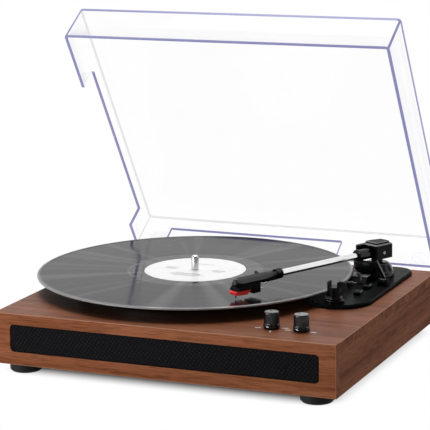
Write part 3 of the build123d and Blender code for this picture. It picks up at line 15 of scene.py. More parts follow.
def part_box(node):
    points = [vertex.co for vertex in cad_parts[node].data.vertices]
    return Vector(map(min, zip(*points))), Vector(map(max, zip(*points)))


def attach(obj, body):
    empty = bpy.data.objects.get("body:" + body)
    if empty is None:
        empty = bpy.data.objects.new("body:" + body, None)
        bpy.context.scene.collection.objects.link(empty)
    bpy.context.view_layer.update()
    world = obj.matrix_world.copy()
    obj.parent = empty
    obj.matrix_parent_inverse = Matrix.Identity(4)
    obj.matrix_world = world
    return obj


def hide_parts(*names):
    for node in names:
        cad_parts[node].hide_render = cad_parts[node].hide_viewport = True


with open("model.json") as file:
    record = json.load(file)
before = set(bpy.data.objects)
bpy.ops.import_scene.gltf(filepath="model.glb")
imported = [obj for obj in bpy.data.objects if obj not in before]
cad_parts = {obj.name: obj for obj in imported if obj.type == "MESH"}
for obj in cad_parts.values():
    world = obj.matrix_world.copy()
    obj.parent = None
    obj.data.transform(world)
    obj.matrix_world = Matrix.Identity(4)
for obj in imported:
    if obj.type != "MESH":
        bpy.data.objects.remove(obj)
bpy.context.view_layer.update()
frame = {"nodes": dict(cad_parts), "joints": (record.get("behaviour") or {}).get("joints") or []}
joint = {j["name"]: j for j in frame["joints"]}
MM = 0.001

# %% [markdown]
# All sizes below are in millimetres, and turn into metres only when a mesh is made. The places that
# several pieces share are read from the frame: the joints give the turning axes, and the boxes of the
# solids give heights.

# %% Shared places


def box(node):
    """Lowest and highest corner of a solid in millimetres."""
    low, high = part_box(node)
    return np.array(low) / MM, np.array(high) / MM


def pivot_of(name):
    """Point that a joint turns about, in millimetres."""
    return np.array(joint[name]["pos_m"]) / MM


spindle_at = pivot_of("platter_spin")
arm_at = pivot_of("arm_swing")
arm_side = -np.array(joint["arm_tilt"]["axis"])
arm_side = arm_side / np.linalg.norm(arm_side)
up = np.array([0.0, 0.0, 1.0])
arm_along = np.cross(arm_side, up)
front_y = box("front_board")[0][1]
rear_y = box("back_board")[1][1]
left_x, right_x = box("front_board")[0][0], box("front_board")[1][0]
middle_x = (left_x + right_x) / 2
top_z = box("top_board")[1][2]
deck_z = box("deck_plate")[1][2]
record_z = box("record")[1][2]
print("arm heading", np.degrees(np.arctan2(arm_along[1], arm_along[0])) % 360)

# %% [markdown]
# The camera stands where the photograph was taken from. Its angles and distance were worked out from the
# record's ellipse and the plinth's corners, measured from the middle of the plinth's front top edge.
# A long lens from two metres away keeps the plinth's edges nearly parallel. A matrix built from the
# three directions of the view places it exactly, with the small roll that a hand-held camera has.

# %% Camera
TURN, RISE, ROLL = np.radians([23.3041, 11.697, -0.8227])
DISTANCE = 1903.889
LENS_PIXELS = 2026.856
FRAME_PIXELS = 430
look_at = np.array([middle_x - 9.417, front_y + 150.0, top_z + 71.257])
back = np.array([np.sin(TURN) * np.cos(RISE), -np.cos(TURN) * np.cos(RISE), np.sin(RISE)])
level = np.array([np.cos(TURN), np.sin(TURN), 0.0])
upright = np.cross(back, level)
across = level * np.cos(ROLL) + upright * np.sin(ROLL)
upward = upright * np.cos(ROLL) - level * np.sin(ROLL)
lens = bpy.data.cameras.new("camera")
lens.sensor_width = 36.0
lens.lens = 36.0 * LENS_PIXELS / FRAME_PIXELS
lens.clip_end = 100.0
camera = bpy.data.objects.new("camera", lens)
pose = np.eye(4)
pose[:3, 0], pose[:3, 1], pose[:3, 2] = across, upward, back
pose[:3, 3] = (look_at + back * DISTANCE) * MM
camera.matrix_world = Matrix(pose.tolist())
bpy.context.scene.collection.objects.link(camera)
bpy.context.scene.camera = camera
bpy.context.scene.view_settings.view_transform = "Standard"
print("lens", round(lens.lens, 1))

# %% [markdown]
# The sky and all finishes are built from nodes. A few helpers keep that short: one sets a node's inputs by
# name, one adds a node, two do sums on numbers and on vectors, one mixes two shaders, and one lays colours
# along a factor.

# %% Node helpers


def plug(tree, target, value):
    """Set an input to a value, or link it if the value is a socket."""
    if isinstance(value, bpy.types.NodeSocket):
        tree.links.new(value, target)
    else:
        target.default_value = value


def give(tree, node, **inputs):
    """Set a node's inputs by name; an underscore stands for a space."""
    for key, value in inputs.items():
        plug(tree, node.inputs[key.replace("_", " ")], value)


def add(tree, kind, settings=None, **inputs):
    """A new node with its settings and its inputs."""
    node = tree.nodes.new("ShaderNode" + kind)
    for key, value in (settings or {}).items():
        setattr(node, key, value)
    give(tree, node, **inputs)
    return node


def sums(tree, operation, first, second=None, kind="Math", result="Value"):
    """Number that a sum on one or two values gives."""
    node = add(tree, kind, {"operation": operation})
    plug(tree, node.inputs[0], first)
    if second is not None:
        plug(tree, node.inputs[1], second)
    return node.outputs[result]


def arrows(tree, operation, first, second=None):
    """Vector that a sum on one or two vectors gives."""
    return sums(tree, operation, first, second, "VectorMath", "Vector")


def either(tree, share, first, second):
    """Two shaders, mixed by the share of the second."""
    node = add(tree, "MixShader", Fac=share)
    plug(tree, node.inputs[1], first.outputs[0])
    plug(tree, node.inputs[2], second.outputs[0])
    return node


def ramp(tree, fac, stops, smooth="LINEAR"):
    """Colours along a factor: stops are (place, colour)."""
    node = add(tree, "ValToRGB", Fac=fac)
    node.color_ramp.interpolation = smooth
    bar = node.color_ramp.elements
    while len(bar) < len(stops):
        bar.new(0.5)
    for stop, (place, colour) in zip(bar, stops):
        stop.position = place
        stop.color = (*colour, 1.0)
    return node.outputs["Color"]


def greys(*stops):
    """Stops for a ramp from pairs of place and grey."""
    return [(place, (grey,) * 3) for place, grey in stops]


print("node helpers ready")

# %% [markdown]
# The studio is a pale floor under a white sky. The sky lights the player gently, and shows pure white only
# to the camera, also through clear plastic, so that the lamps can stay at a plain level. In reflections it
# is white behind the player and dim on the camera's side, as a room is, which keeps black plastic black.
# Three soft lamps follow the photograph: a broad one overhead and a little behind, a low strip at the left
# front that lights the front without reaching under the record, and a weak fill at the right.

# %% Sky
WHITE = (1.0, 1.0, 1.0, 1.0)
sky = bpy.data.worlds.new("sky")
bpy.context.scene.world = sky
sky.use_nodes = True
air = sky.node_tree
glow = air.nodes["Background"]
give(air, glow, Color=WHITE, Strength=0.10)
seen = add(air, "Background", Color=WHITE, Strength=1.0)
heading = add(air, "TexCoord").outputs["Generated"]
to_camera = (math.sin(TURN), -math.cos(TURN), 0.0)
frontness = sums(air, "DOT_PRODUCT", heading, to_camera, "VectorMath")
room = ramp(air, frontness, greys((0.0, 1.0), (0.45, 0.10)), "EASE")
mirrored = add(air, "Background", Color=room, Strength=1.0)
rays = add(air, "LightPath").outputs
straight = sums(air, "MAXIMUM", rays["Is Camera Ray"], rays["Is Transmission Ray"])
lighting = either(air, rays["Is Glossy Ray"], glow, mirrored)
sky_shader = either(air, straight, lighting, seen)
plug(air, air.nodes["World Output"].inputs["Surface"], sky_shader.outputs[0])
print("sky", glow.inputs["Strength"].default_value)

# %% Lamps


def soft_lamp(name, place, aim, size, power):
    """A lamp of a width and height at one point, turned towards another; all in metres."""
    light = bpy.data.lights.new(name, "AREA")
    light.shape = "RECTANGLE"
    light.size, light.size_y = size
    light.energy = power
    lamp = bpy.data.objects.new(name, light)
    lamp.location = place
    lamp.rotation_euler = (Vector(aim) - Vector(place)).to_track_quat("-Z", "Y").to_euler()
    bpy.context.scene.collection.objects.link(lamp)
    print(name, power)


soft_lamp("overhead", (-0.1, 0.5, 1.9), (0.0, 0.0, 0.05), (1.4, 1.4), 31.0)
soft_lamp("low front", (-0.65, -1.0, 0.04), (-0.02, -0.15, 0.03), (0.7, 0.07), 8.4)
soft_lamp("fill", (1.6, -1.2, 0.7), (0.0, 0.0, 0.06), (1.0, 1.0), 0.6)

# %% [markdown]
# Every new piece is a grid of points worked out with numpy. These helpers turn a grid into faces, close
# its ends, and make the object. A stack of closed outlines is the most useful form: a turned part, a
# moulded block and a tapered arm are all such stacks, so one skinning function serves them all.

# %% Mesh helpers


def quads(rows, columns, around=True, loop=False):
    """Four-sided faces of a grid; around closes each row, loop joins the last row to the first."""
    r = np.arange(rows if loop else rows - 1)[:, None]
    c = np.arange(columns if around else columns - 1)[None, :]
    next_r = (r + 1) % rows
    next_c = (c + 1) % columns
    corners = [r * columns + c, r * columns + next_c, next_r * columns + next_c, next_r * columns + c]
    return np.stack(np.broadcast_arrays(*corners), -1).reshape(-1, 4)


def skin(rings, loop=False):
    """Points and faces of a stack of closed outlines, with a flat face on each end unless it loops."""
    rows, columns = rings.shape[:2]
    faces = quads(rows, columns, loop=loop).tolist()
    if not loop:
        faces.append(list(range(columns))[::-1])
        faces.append(list(range((rows - 1) * columns, rows * columns)))
    return rings.reshape(-1, 3), faces


def join(*parts):
    """Several skins as one: the faces of each later skin count on from the points before it."""
    starts = np.cumsum([0] + [len(points) for points, faces in parts])
    points = np.concatenate([points for points, faces in parts])
    faces = [[v + int(s) for v in f] for s, (p, fs) in zip(starts, parts) for f in fs]
    return points, faces


def make(name, shape, body, finishes, stands_for=(), sharp=32.0):
    """A mesh object from points in millimetres, smooth but for edges sharper than an angle."""
    points, faces = shape
    mesh = bpy.data.meshes.new(name)
    mesh.from_pydata((points * MM).tolist(), [], faces)
    mesh.shade_smooth()
    mesh.set_sharp_from_angle(angle=math.radians(sharp))
    piece = bpy.data.objects.new(name, mesh)
    bpy.context.scene.collection.objects.link(piece)
    for finish in finishes if isinstance(finishes, list) else [finishes]:
        mesh.materials.append(finish)
    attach(piece, body)
    if stands_for:
        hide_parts(*stands_for)
    print(name, len(points), "points")
    return piece


print("mesh helpers ready")

# %% Outline helpers


def soften(points, radius, steps=5, closed=True):
    """A line with each corner made a small curve that starts and ends a radius away from it."""
    p = np.asarray(points, float)
    before = np.roll(p, 1, 0) - p
    after = np.roll(p, -1, 0) - p
    long_before = np.linalg.norm(before, axis=1, keepdims=True)
    long_after = np.linalg.norm(after, axis=1, keepdims=True)
    reach = np.broadcast_to(np.asarray(radius, float), (len(p),))[:, None]
    start = p + before / long_before * np.minimum(reach, 0.48 * long_before)
    end = p + after / long_after * np.minimum(reach, 0.48 * long_after)
    t = np.linspace(0.0, 1.0, steps)[None, :, None]
    curve = (1 - t) ** 2 * start[:, None] + 2 * t * (1 - t) * p[:, None] + t**2 * end[:, None]
    if closed:
        return curve.reshape(-1, p.shape[1])
    return np.concatenate([p[:1], curve[1:-1].reshape(-1, p.shape[1]), p[-1:]])


def oblong(wide, deep, radius, steps=6):
    """Rectangle about the origin with rounded corners."""
    corners = [(-wide / 2, -deep / 2), (wide / 2, -deep / 2), (wide / 2, deep / 2), (-wide / 2, deep / 2)]
    return soften(corners, radius, steps)


def ring(radius, count=64):
    """Circle about the origin."""
    a = np.linspace(0, 2 * np.pi, count, endpoint=False)
    return np.stack([radius * np.cos(a), radius * np.sin(a)], -1)


def draw_in(outline, amount):
    """An outline moved towards its inside by an amount, along the line square to it at each point."""
    run = np.roll(outline, -1, 0) - np.roll(outline, 1, 0)
    inward = np.stack([-run[:, 1], run[:, 0]], -1) / np.linalg.norm(run, axis=1, keepdims=True)
    return outline + inward * amount


print("an outline of", len(oblong(10.0, 10.0, 1.0)), "points")

# %% Shape helpers


def slab(outline, low, high, edge, steps=4):
    """Block with a flat outline: its rings draw in along a quarter circle at the bottom and at the top."""
    t = np.linspace(0, np.pi / 2, steps)
    inset = np.concatenate([edge * (1 - np.sin(t)), edge * (1 - np.sin(t[::-1]))])
    height = np.concatenate([low + edge * (1 - np.cos(t)), high - edge * (1 - np.cos(t[::-1]))])
    flat = np.stack([draw_in(outline, i) for i in inset])
    rise = np.broadcast_to(height[:, None, None], (*flat.shape[:2], 1))
    return skin(np.concatenate([flat, rise], -1))


def stacked(levels):
    """Skin of outlines at several heights: each level is (outline, amount drawn in, height)."""
    flat = np.stack([draw_in(outline, inset) for outline, inset, z in levels])
    height = np.array([z for outline, inset, z in levels], float)[:, None, None]
    return skin(np.concatenate([flat, np.broadcast_to(height, (*flat.shape[:2], 1))], -1))


def turned(profile, count=96, loop=False):
    """Skin of a profile of (radius, height) carried once round the upright axis."""
    radius, height = np.asarray(profile, float).T
    a = np.linspace(0, 2 * np.pi, count, endpoint=False)
    x = radius[:, None] * np.cos(a)
    y = radius[:, None] * np.sin(a)
    z = np.broadcast_to(height[:, None], x.shape)
    return skin(np.stack([x, y, z], -1), loop=loop)


def put(shape, origin, x=(1, 0, 0), y=(0, 1, 0), z=(0, 0, 1)):
    """A skin moved from its own axes to a place with the three directions given."""
    points, faces = shape
    return points @ np.array([x, y, z], float) + np.asarray(origin, float), faces


def tube_along(route, section):
    """Skin of a flat section carried along a route, kept upright as far as the route allows."""
    run = np.gradient(route, axis=0)
    run = run / np.linalg.norm(run, axis=1, keepdims=True)
    side = np.cross(run, up)
    side = side / np.linalg.norm(side, axis=1, keepdims=True)
    rise = np.cross(side, run)
    rings = route[:, None] + section[None, :, :1] * side[:, None] + section[None, :, 1:] * rise[:, None]
    return skin(rings)


print("shape helpers ready")

# %% [markdown]
# Finishes come next. Each one is built from nodes that read the object's own coordinates, so a pattern
# stays on its piece when the piece moves. Most of the player is moulded plastic, painted or polished
# metal, so one recipe with two close tones, a change of gloss and a fine grain covers those. A second
# recipe paints a highlight on black pieces: it picks a paler grey by how far a face looks up.

# %% Finish helpers


def blank(name):
    """A new material with its shader, and the point on the object that its patterns read."""
    material = bpy.data.materials.new(name)
    material.use_nodes = True
    tree = material.node_tree
    return material, tree, tree.nodes["Principled BSDF"], add(tree, "TexCoord").outputs["Object"]


def spread(tree, fac, low, high):
    """A factor from 0 to 1 brought to a range."""
    return add(tree, "MapRange", Value=fac, To_Min=low, To_Max=high).outputs["Result"]


def between(tree, value, low, high):
    """How far a value has come from one end of a range to the other, from 0 to 1."""
    return add(tree, "MapRange", Value=value, From_Min=low, From_Max=high).outputs["Result"]


def scaled(tree, where, size, turn=(0, 0, 0), shift=(0, 0, 0)):
    """The object's coordinates moved, turned and stretched for a pattern."""
    return add(tree, "Mapping", Vector=where, Scale=size, Rotation=turn, Location=shift).outputs[0]


def noise(tree, where, scale, detail=2.0, bend=0.0):
    """Soft noise from 0 to 1 at a scale."""
    node = add(tree, "TexNoise", Vector=where, Scale=scale, Detail=detail, Distortion=bend)
    return node.outputs["Fac"]


def relief(tree, height, depth, strength):
    """Direction of a surface that a pattern raises by a depth in metres."""
    return add(tree, "Bump", Height=height, Distance=depth, Strength=strength).outputs[0]


def mixed(tree, first, second, share, kind="MIX"):
    """Two colours mixed, or one multiplied by the other, by the share of the second."""
    settings = {"data_type": "RGBA", "blend_type": kind}
    return add(tree, "Mix", settings, Factor=share, A=first, B=second).outputs["Result"]


def upness(tree):
    """How far a face looks up: one on a flat top, zero on an upright side."""
    facing = add(tree, "TexCoord").outputs["Normal"]
    return add(tree, "SeparateXYZ", Vector=facing).outputs["Z"]


def paint_glow(material, colour, strength):
    """A weak painted glow, standing in for light that plastic or paper gathers or lets through."""
    shader = material.node_tree.nodes["Principled BSDF"]
    give(material.node_tree, shader, Emission_Color=(*colour, 1.0), Emission_Strength=strength)


print("finish helpers ready")

# %% Plain finishes


def surface(name, dark, light, rough, grain=1500.0, dent=0.00004, metal=0.0, shine=0.3):
    """Moulded or metal finish: soft patches of two tones, uneven gloss and a fine grain in relief."""
    material, tree, shader, where = blank(name)
    patch = noise(tree, where, 45.0, 4.0)
    give(
        tree, shader,
        Base_Color=ramp(tree, patch, [(0.3, dark), (0.7, light)]),
        Roughness=spread(tree, patch, rough * 0.85, rough * 1.15),
        Normal=relief(tree, noise(tree, where, grain), dent, 0.6),
        Metallic=metal,
        Specular_IOR_Level=shine,
    )
    return material


satin_black = surface("satin black plastic", (0.003, 0.003, 0.003), (0.005, 0.005, 0.005), 0.30, shine=0.07)
deck_black = surface("deck black plastic", (0.006, 0.007, 0.007), (0.012, 0.013, 0.013), 0.28, shine=0.012)
gloss_black = surface("gloss black plastic", (0.002, 0.002, 0.003), (0.005, 0.005, 0.006), 0.14, shine=0.3)
button_grey = surface("grey plastic", (0.05, 0.05, 0.052), (0.08, 0.08, 0.082), 0.35, shine=0.3)
rubber = surface("black rubber", (0.005,) * 3, (0.011, 0.011, 0.012), 0.62, 900.0, 0.00008, shine=0.15)
chrome = surface("chrome", (0.80, 0.80, 0.81), (0.90, 0.89, 0.88), 0.10, 2500.0, 0.00001, metal=1.0)
steel = surface("bright steel", (0.50, 0.50, 0.52), (0.66, 0.66, 0.67), 0.26, 2200.0, 0.00002, metal=1.0)
spun_cap = surface("spun knob cap", (0.12, 0.12, 0.12), (0.34, 0.34, 0.35), 0.24, 1800.0, 0.00003, metal=1.0)
silver = surface("silver trim", (0.62, 0.62, 0.63), (0.78, 0.78, 0.78), 0.20, 2200.0, 0.00002, metal=1.0)
brass = surface("bearing brass", (0.60, 0.43, 0.18), (0.74, 0.56, 0.27), 0.28, 1800.0, 0.00002, metal=1.0)
alloy = surface("platter alloy", (0.05, 0.05, 0.052), (0.09, 0.09, 0.092), 0.38, 1500.0, 0.00003, metal=0.6)
red = surface("red plastic", (0.48, 0.010, 0.012), (0.66, 0.022, 0.020), 0.22, 1200.0, 0.00002, shine=0.5)
board_green = surface("circuit board green", (0.010, 0.070, 0.030), (0.018, 0.110, 0.046), 0.40)
nylon = surface("white nylon", (0.60, 0.58, 0.53), (0.74, 0.72, 0.67), 0.45)
cone_paper = surface("cone paper", (0.020, 0.020, 0.020), (0.045, 0.044, 0.042), 0.8, 700.0, 0.0001)
chipboard = surface("raw board", (0.30, 0.20, 0.12), (0.48, 0.35, 0.23), 0.75, 420.0, 0.0002)
print("plain finishes", len(bpy.data.materials))

# %% Blacks with a painted highlight


def black_with_painted_highlight(name, tones):
    """Black plastic with a painted highlight: a grey that depends on how far a face looks up; tones are
    (upness, grey).
    """
    material, tree, shader, where = blank(name)
    painted_sheen = ramp(tree, upness(tree), [(place, (grey, grey, grey * 1.03)) for place, grey in tones])
    uneven = spread(tree, noise(tree, where, 400.0, 3.0), 0.22, 0.34)
    give(tree, shader, Base_Color=painted_sheen, Roughness=uneven, Specular_IOR_Level=0.02)
    return material


# Bevels and tops of these blacks get a paler grey as a painted highlight; on the lift block it is a painted
# reflection on its top.
cap_black_painted_bevels = black_with_painted_highlight("cap black with painted bevels", [(0.25, 0.004), (0.5, 0.26), (0.85, 0.26), (0.97, 0.004)])
head_black_painted_bevels = black_with_painted_highlight("head black with painted bevels", [(0.25, 0.004), (0.5, 0.09), (0.85, 0.09), (0.97, 0.004)])
lift_black_painted_top = black_with_painted_highlight("lift block black with painted top", [(0.25, 0.006), (0.6, 0.022), (0.85, 0.022), (0.97, 0.34)])
print("buffed blacks ready")

# %% [markdown]
# Walnut veneer is long streaks, a slow change of tone, and short dark pores that all run one way. Noise
# that is stretched along the grain gives each of them, at its own scale. The boards' rounded edges catch
# the light, and a paler colour is painted on them as a painted highlight, found by a mask on the face
# direction.

# %% Walnut veneer


def edge_highlight_mask(tree):
    """One on the rounded edges of a board, zero on its flat faces, from the direction of the face."""
    facing = add(tree, "TexCoord").outputs["Normal"]
    parts = add(tree, "SeparateXYZ", Vector=arrows(tree, "ABSOLUTE", facing)).outputs
    flat = sums(tree, "MAXIMUM", sums(tree, "MAXIMUM", parts["X"], parts["Y"]), parts["Z"])
    return between(tree, flat, 0.97, 0.85)


def veneer(name, turn):
    """Veneer with its grain along X, turned about the upright axis; faces that look sideways are duller and
    rounded edges get a painted highlight.
    """
    material, tree, shader, where = blank(name)
    laid = scaled(tree, where, (1, 1, 1), (0, 0, turn))
    streak = noise(tree, scaled(tree, laid, (5.0, 150.0, 150.0)), 1.0, 7.0, 0.5)
    broad = noise(tree, scaled(tree, laid, (2.2, 24.0, 24.0)), 1.0, 3.0, 1.2)
    pore = noise(tree, scaled(tree, laid, (60.0, 1100.0, 1100.0)), 1.0)
    both = add(tree, "Mix", {"data_type": "FLOAT"}, Factor=0.5, A=streak, B=broad).outputs[0]
    dark, mid, light = (0.072, 0.020, 0.008), (0.225, 0.076, 0.033), (0.325, 0.122, 0.060)
    tone = ramp(tree, both, [(0.34, dark), (0.46, mid), (0.64, light)])
    hole = ramp(tree, pore, [(0.36, (0.45, 0.40, 0.38)), (0.50, (1, 1, 1))])
    stained = mixed(tree, tone, hole, 0.6, "MULTIPLY")
    give(
        tree, shader,
        # The paler colour on the rounded edges is a painted highlight.
        Base_Color=mixed(tree, stained, (0.46, 0.24, 0.15, 1.0), edge_highlight_mask(tree)),
        Roughness=spread(tree, pore, 0.52, 0.40),
        Specular_IOR_Level=spread(tree, upness(tree), 0.01, 0.16),
        Normal=relief(tree, pore, 0.00006, 0.5),
    )
    return material


walnut = veneer("walnut along the front", 0.0)
walnut_side = veneer("walnut along the side", math.pi / 2)
print("veneer ready")

# %% [markdown]
# Solids whose shape is already right keep their mesh and only get a finish. The list names every solid but
# the cover and its hinges, which are dressed together further down. Solids that are replaced by a finer
# piece later simply stay hidden.

# %% Finish the solids
solid_finish = {
    walnut: ["front_board", "top_board", "back_board"],
    walnut_side: ["left_board", "right_board"],
    chipboard: ["base_board", "corner_blocks"],
    rubber: ["feet", "drive_belt", "slip_mat"],
    steel: ["foot_screws", "motor_can", "motor_shaft", "hinge_pins", "bearing_housing"],
    satin_black: ["arm_tower", "arm_rest", "rest_clip", "arm_housing", "arm_bush"],
    deck_black: ["deck_plate", "deck_screws", "lever_bracket", "jack_panel", "speaker_baffle"],
    gloss_black: ["cartridge", "cue_lever", "lift_rail", "selector_knob", "volume_knob"],
    brass: ["bearing_bush", "motor_pulley"],
    chrome: ["spindle", "arm_tube", "rca_jacks", "arm_shaft", "gimbal_pins", "pot_bodies"],
    alloy: ["platter", "speaker_frames"],
    board_green: ["amplifier_board"],
    nylon: ["board_standoffs", "record_label"],
    cone_paper: ["speaker_cones", "grille_cloth"],
    red: ["stylus"],
    # lift_housing gets a light grey top from its finish, a painted reflection.
    lift_black_painted_top: ["lift_housing"],
}
solid_finish[gloss_black] += ["aux_jack", "power_jack", "switch_bodies", "speed_switch"]
solid_finish[gloss_black] += ["auto_stop_switch", "record", "housing_cap", "arm_sleeve", "headshell"]


def dress(node, finish):
    """Give a solid one finish all over."""
    slots = frame["nodes"][node].data.materials
    slots.clear()
    slots.append(finish)


for finish, nodes in solid_finish.items():
    for node in nodes:
        dress(node, finish)
dressed = {node for nodes in solid_finish.values() for node in nodes}
print("dressed with the cover", sorted(set(frame["nodes"]) - dressed))

# %% [markdown]
# The record is pressed vinyl. A real one has a spiral groove too fine to model, so the shape carries only
# what the eye can tell apart: the raised bead at the rim, the smooth bands between the tracks, and the run
# out near the label. The groove itself is a finish: noise that depends only on the distance from the
# spindle is a set of rings, and it breaks the gloss up in the way that grooves do. Grooves also throw light
# into a fan of streaks, so the gloss changes with the heading from the spindle. The streaks belong to the
# light and not to the record, so the heading is taken in the room, and they stay when the record turns.

# %% Record shape
RECORD_R = (box("record")[1][0] - box("record")[0][0]) / 2
HOLE_R = 3.65
record_low = box("record")[0][2]
face_z = box("record_label")[0][2]
band_at = np.array([127.5, 109.5, 91.0, 74.5, 61.5])
near_band = (band_at[:, None] + np.linspace(-1.6, 1.6, 9)).ravel()
face_r = np.sort(np.concatenate([np.linspace(HOLE_R, RECORD_R - 4.2, 46), near_band]))[::-1]
hump = np.exp(-(((face_r[:, None] - band_at) / 0.55) ** 2)).sum(1)
face_profile = np.stack([face_r, face_z - 0.06 + 0.05 * hump], -1)
half = (record_z - record_low) / 2
swing = np.linspace(-np.pi / 2, np.pi / 2, 9)
rim_r = RECORD_R - half + half * np.cos(swing)
rim = np.stack([rim_r, record_low + half + half * np.sin(swing)], -1)
bead = np.array([[RECORD_R - 2.6, record_z - 0.02], [RECORD_R - 3.4, face_z - 0.04]])
under = np.array([[HOLE_R, record_low], [60.0, record_low], [120.0, record_low]])
record_profile = np.concatenate([under, rim, bead, face_profile])
print("record profile", len(record_profile), "points")

# %% Record finish


def vinyl():
    """Black gloss by the distance from the spindle, a grey painted highlight on the rim, streaks by the
    heading and rings in relief.
    """
    material, tree, shader, where = blank("pressed vinyl")
    from_axis = scaled(tree, where, (1, 1, 0), shift=(-spindle_at[0] * MM, -spindle_at[1] * MM, 0))
    reach = sums(tree, "LENGTH", from_axis, kind="VectorMath")
    one_way = {"noise_dimensions": "1D"}
    fine = add(tree, "TexNoise", one_way, W=reach, Scale=9000.0, Detail=2.0).outputs["Fac"]
    broad = add(tree, "TexNoise", one_way, W=reach, Scale=260.0, Detail=3.0).outputs["Fac"]
    tone = ramp(tree, broad, greys((0.3, 0.003), (0.7, 0.006)))
    part = between(tree, reach, 0.0, RECORD_R * MM)
    # The grey on the rim's bead is a painted highlight that brightens the rim line.
    rim_painted_highlight = mixed(tree, tone, (0.20, 0.20, 0.20, 1.0), between(tree, part, 0.988, 0.994))
    rough = ramp(tree, part, greys((0.0, 0.05), (0.425, 0.05), (0.435, 0.12), (0.978, 0.12), (0.990, 0.38)))
    shine = ramp(tree, part, greys((0.0, 0.20), (0.425, 0.20), (0.435, 0.10), (0.980, 0.10), (0.988, 1.0)))
    to_room = {"vector_type": "VECTOR", "convert_from": "OBJECT", "convert_to": "WORLD"}
    outward = add(tree, "VectorTransform", to_room, Vector=from_axis).outputs[0]
    outward = arrows(tree, "NORMALIZE", outward)
    streak = noise(tree, outward, 4.5, 1.0)
    fan = add(tree, "MapRange", Value=streak, From_Min=0.50, From_Max=0.70, To_Min=0.86, To_Max=2.0)
    give(
        tree, shader,
        Base_Color=rim_painted_highlight,
        Roughness=rough,
        Specular_IOR_Level=mixed(tree, shine, fan.outputs["Result"], 1.0, "MULTIPLY"),
        Tangent=arrows(tree, "CROSS_PRODUCT", (0.0, 0.0, 1.0), outward),
        Anisotropic=0.6,
        Anisotropic_Rotation=0.25,
        Normal=relief(tree, fine, 0.00001, 0.25),
    )
    return material


centre = (spindle_at[0], spindle_at[1], 0)
disc = put(turned(record_profile, 192, loop=True), centre)
make("record_disc", disc, "platter", vinyl(), ["record"])

# %% [markdown]
# The label is pressed into the record, and a shallow ring runs round it. It stays generic: white paper
# with a few plain grey bars in place of print, which are thin strips that lie on it. The mat below the
# record is a disc of felt that lies on the platter.

# %% Label


def label_paper():
    """White coated paper with a faint fibre, brightened by a very weak painted glow."""
    material, tree, shader, where = blank("label paper")
    fibre = noise(tree, where, 900.0, 5.0)
    give(
        tree, shader,
        Base_Color=ramp(tree, fibre, [(0.25, (0.95, 0.95, 0.94)), (0.75, (0.98, 0.98, 0.97))]),
        Roughness=spread(tree, fibre, 0.28, 0.36),
        Normal=relief(tree, fibre, 0.00003, 0.4),
    )
    # The label's white glow is painted light.
    paint_glow(material, (1.0, 1.0, 1.0), 0.13)
    return material


label_r = np.array([48.5, 48.3, 47.8, 38.0, 36.8, 35.6, 34.4, 20.0, HOLE_R])
label_rise = np.array([0.0, 0.12, 0.18, 0.18, 0.08, 0.08, 0.18, 0.18, 0.18])
label_top = np.stack([label_r, face_z + label_rise], -1)
label_profile = np.concatenate([[[HOLE_R, face_z]], label_top])
label_disc = put(turned(label_profile, 160, loop=True), centre)
make("label", label_disc, "platter", label_paper(), ["record_label"])
label_grey = surface("label print", (0.10, 0.10, 0.11), (0.18, 0.18, 0.19), 0.5)
rows = [(-24, 2, 15), (-24, -1, 11), (-24, -4, 13), (24, 2, 13), (24, -1, 15), (24, -4, 9)]
rows += [(0, -17, 26), (0, -20, 34), (0, -23, 30), (0, -26, 22), (0, 22, 20)]
bar_low, bar_high = face_z + 0.1, face_z + 0.2
bars = [put(slab(oblong(w, 0.9, 0.2, 3), bar_low, bar_high, 0.02, 2), (x, y, 0)) for x, y, w in rows]
make("label_bars", put(join(*bars), centre), "platter", label_grey)

# %% Mat
felt = surface("black felt", (0.012, 0.012, 0.013), (0.030, 0.030, 0.032), 0.9, 1100.0, 0.0003)
MAT_R = (box("slip_mat")[1][0] - box("slip_mat")[0][0]) / 2
mat_low, mat_high = box("slip_mat")[0][2], box("slip_mat")[1][2]
mat_edge = soften([(4.2, mat_low), (MAT_R, mat_low), (MAT_R, mat_high), (4.2, mat_high)], 0.6)
mat_disc = put(turned(mat_edge, 128, loop=True), centre)
mat = make("felt_mat", mat_disc, "platter", felt, ["slip_mat"])

# %% [markdown]
# The spindle is a steel pin with a domed tip. A solid's mesh is cut into flat triangles, which shows at
# once in bright metal, so the bright turned parts are made again as smooth lathe shapes.

# %% Spindle
tip_z = box("spindle")[1][2]
dome = np.linspace(0, 0.46 * np.pi, 8)
PIN_R, DOME_R = 3.55, 2.4
tip_r = PIN_R - DOME_R + DOME_R * np.cos(dome)
tip_rise = tip_z - DOME_R + DOME_R * np.sin(dome)
pin_foot = np.array([[3.5, record_low], [3.5, record_z + 0.3], [PIN_R, record_z + 0.32]])
pin_profile = np.concatenate([pin_foot, np.stack([tip_r, tip_rise], -1), [[0.3, tip_z]]])
shank = np.array([[3.0, 40.0], [4.0, 58.0], [4.0, record_low - 0.02]])
pin_shape = put(turned(np.concatenate([shank, pin_profile]), 64), centre)
make("spindle_pin", pin_shape, "platter", steel, ["spindle"])

# %% [markdown]
# The speaker cloth is stretched over the opening in the front. Its outline is a rectangle with rounded
# corners: each row of the grid is as wide as the rounded outline at that height, and the middle bulges a
# little as stretched cloth does. The twill is a finish with two sets of diagonal bands that cross.

# %% Speaker cloth


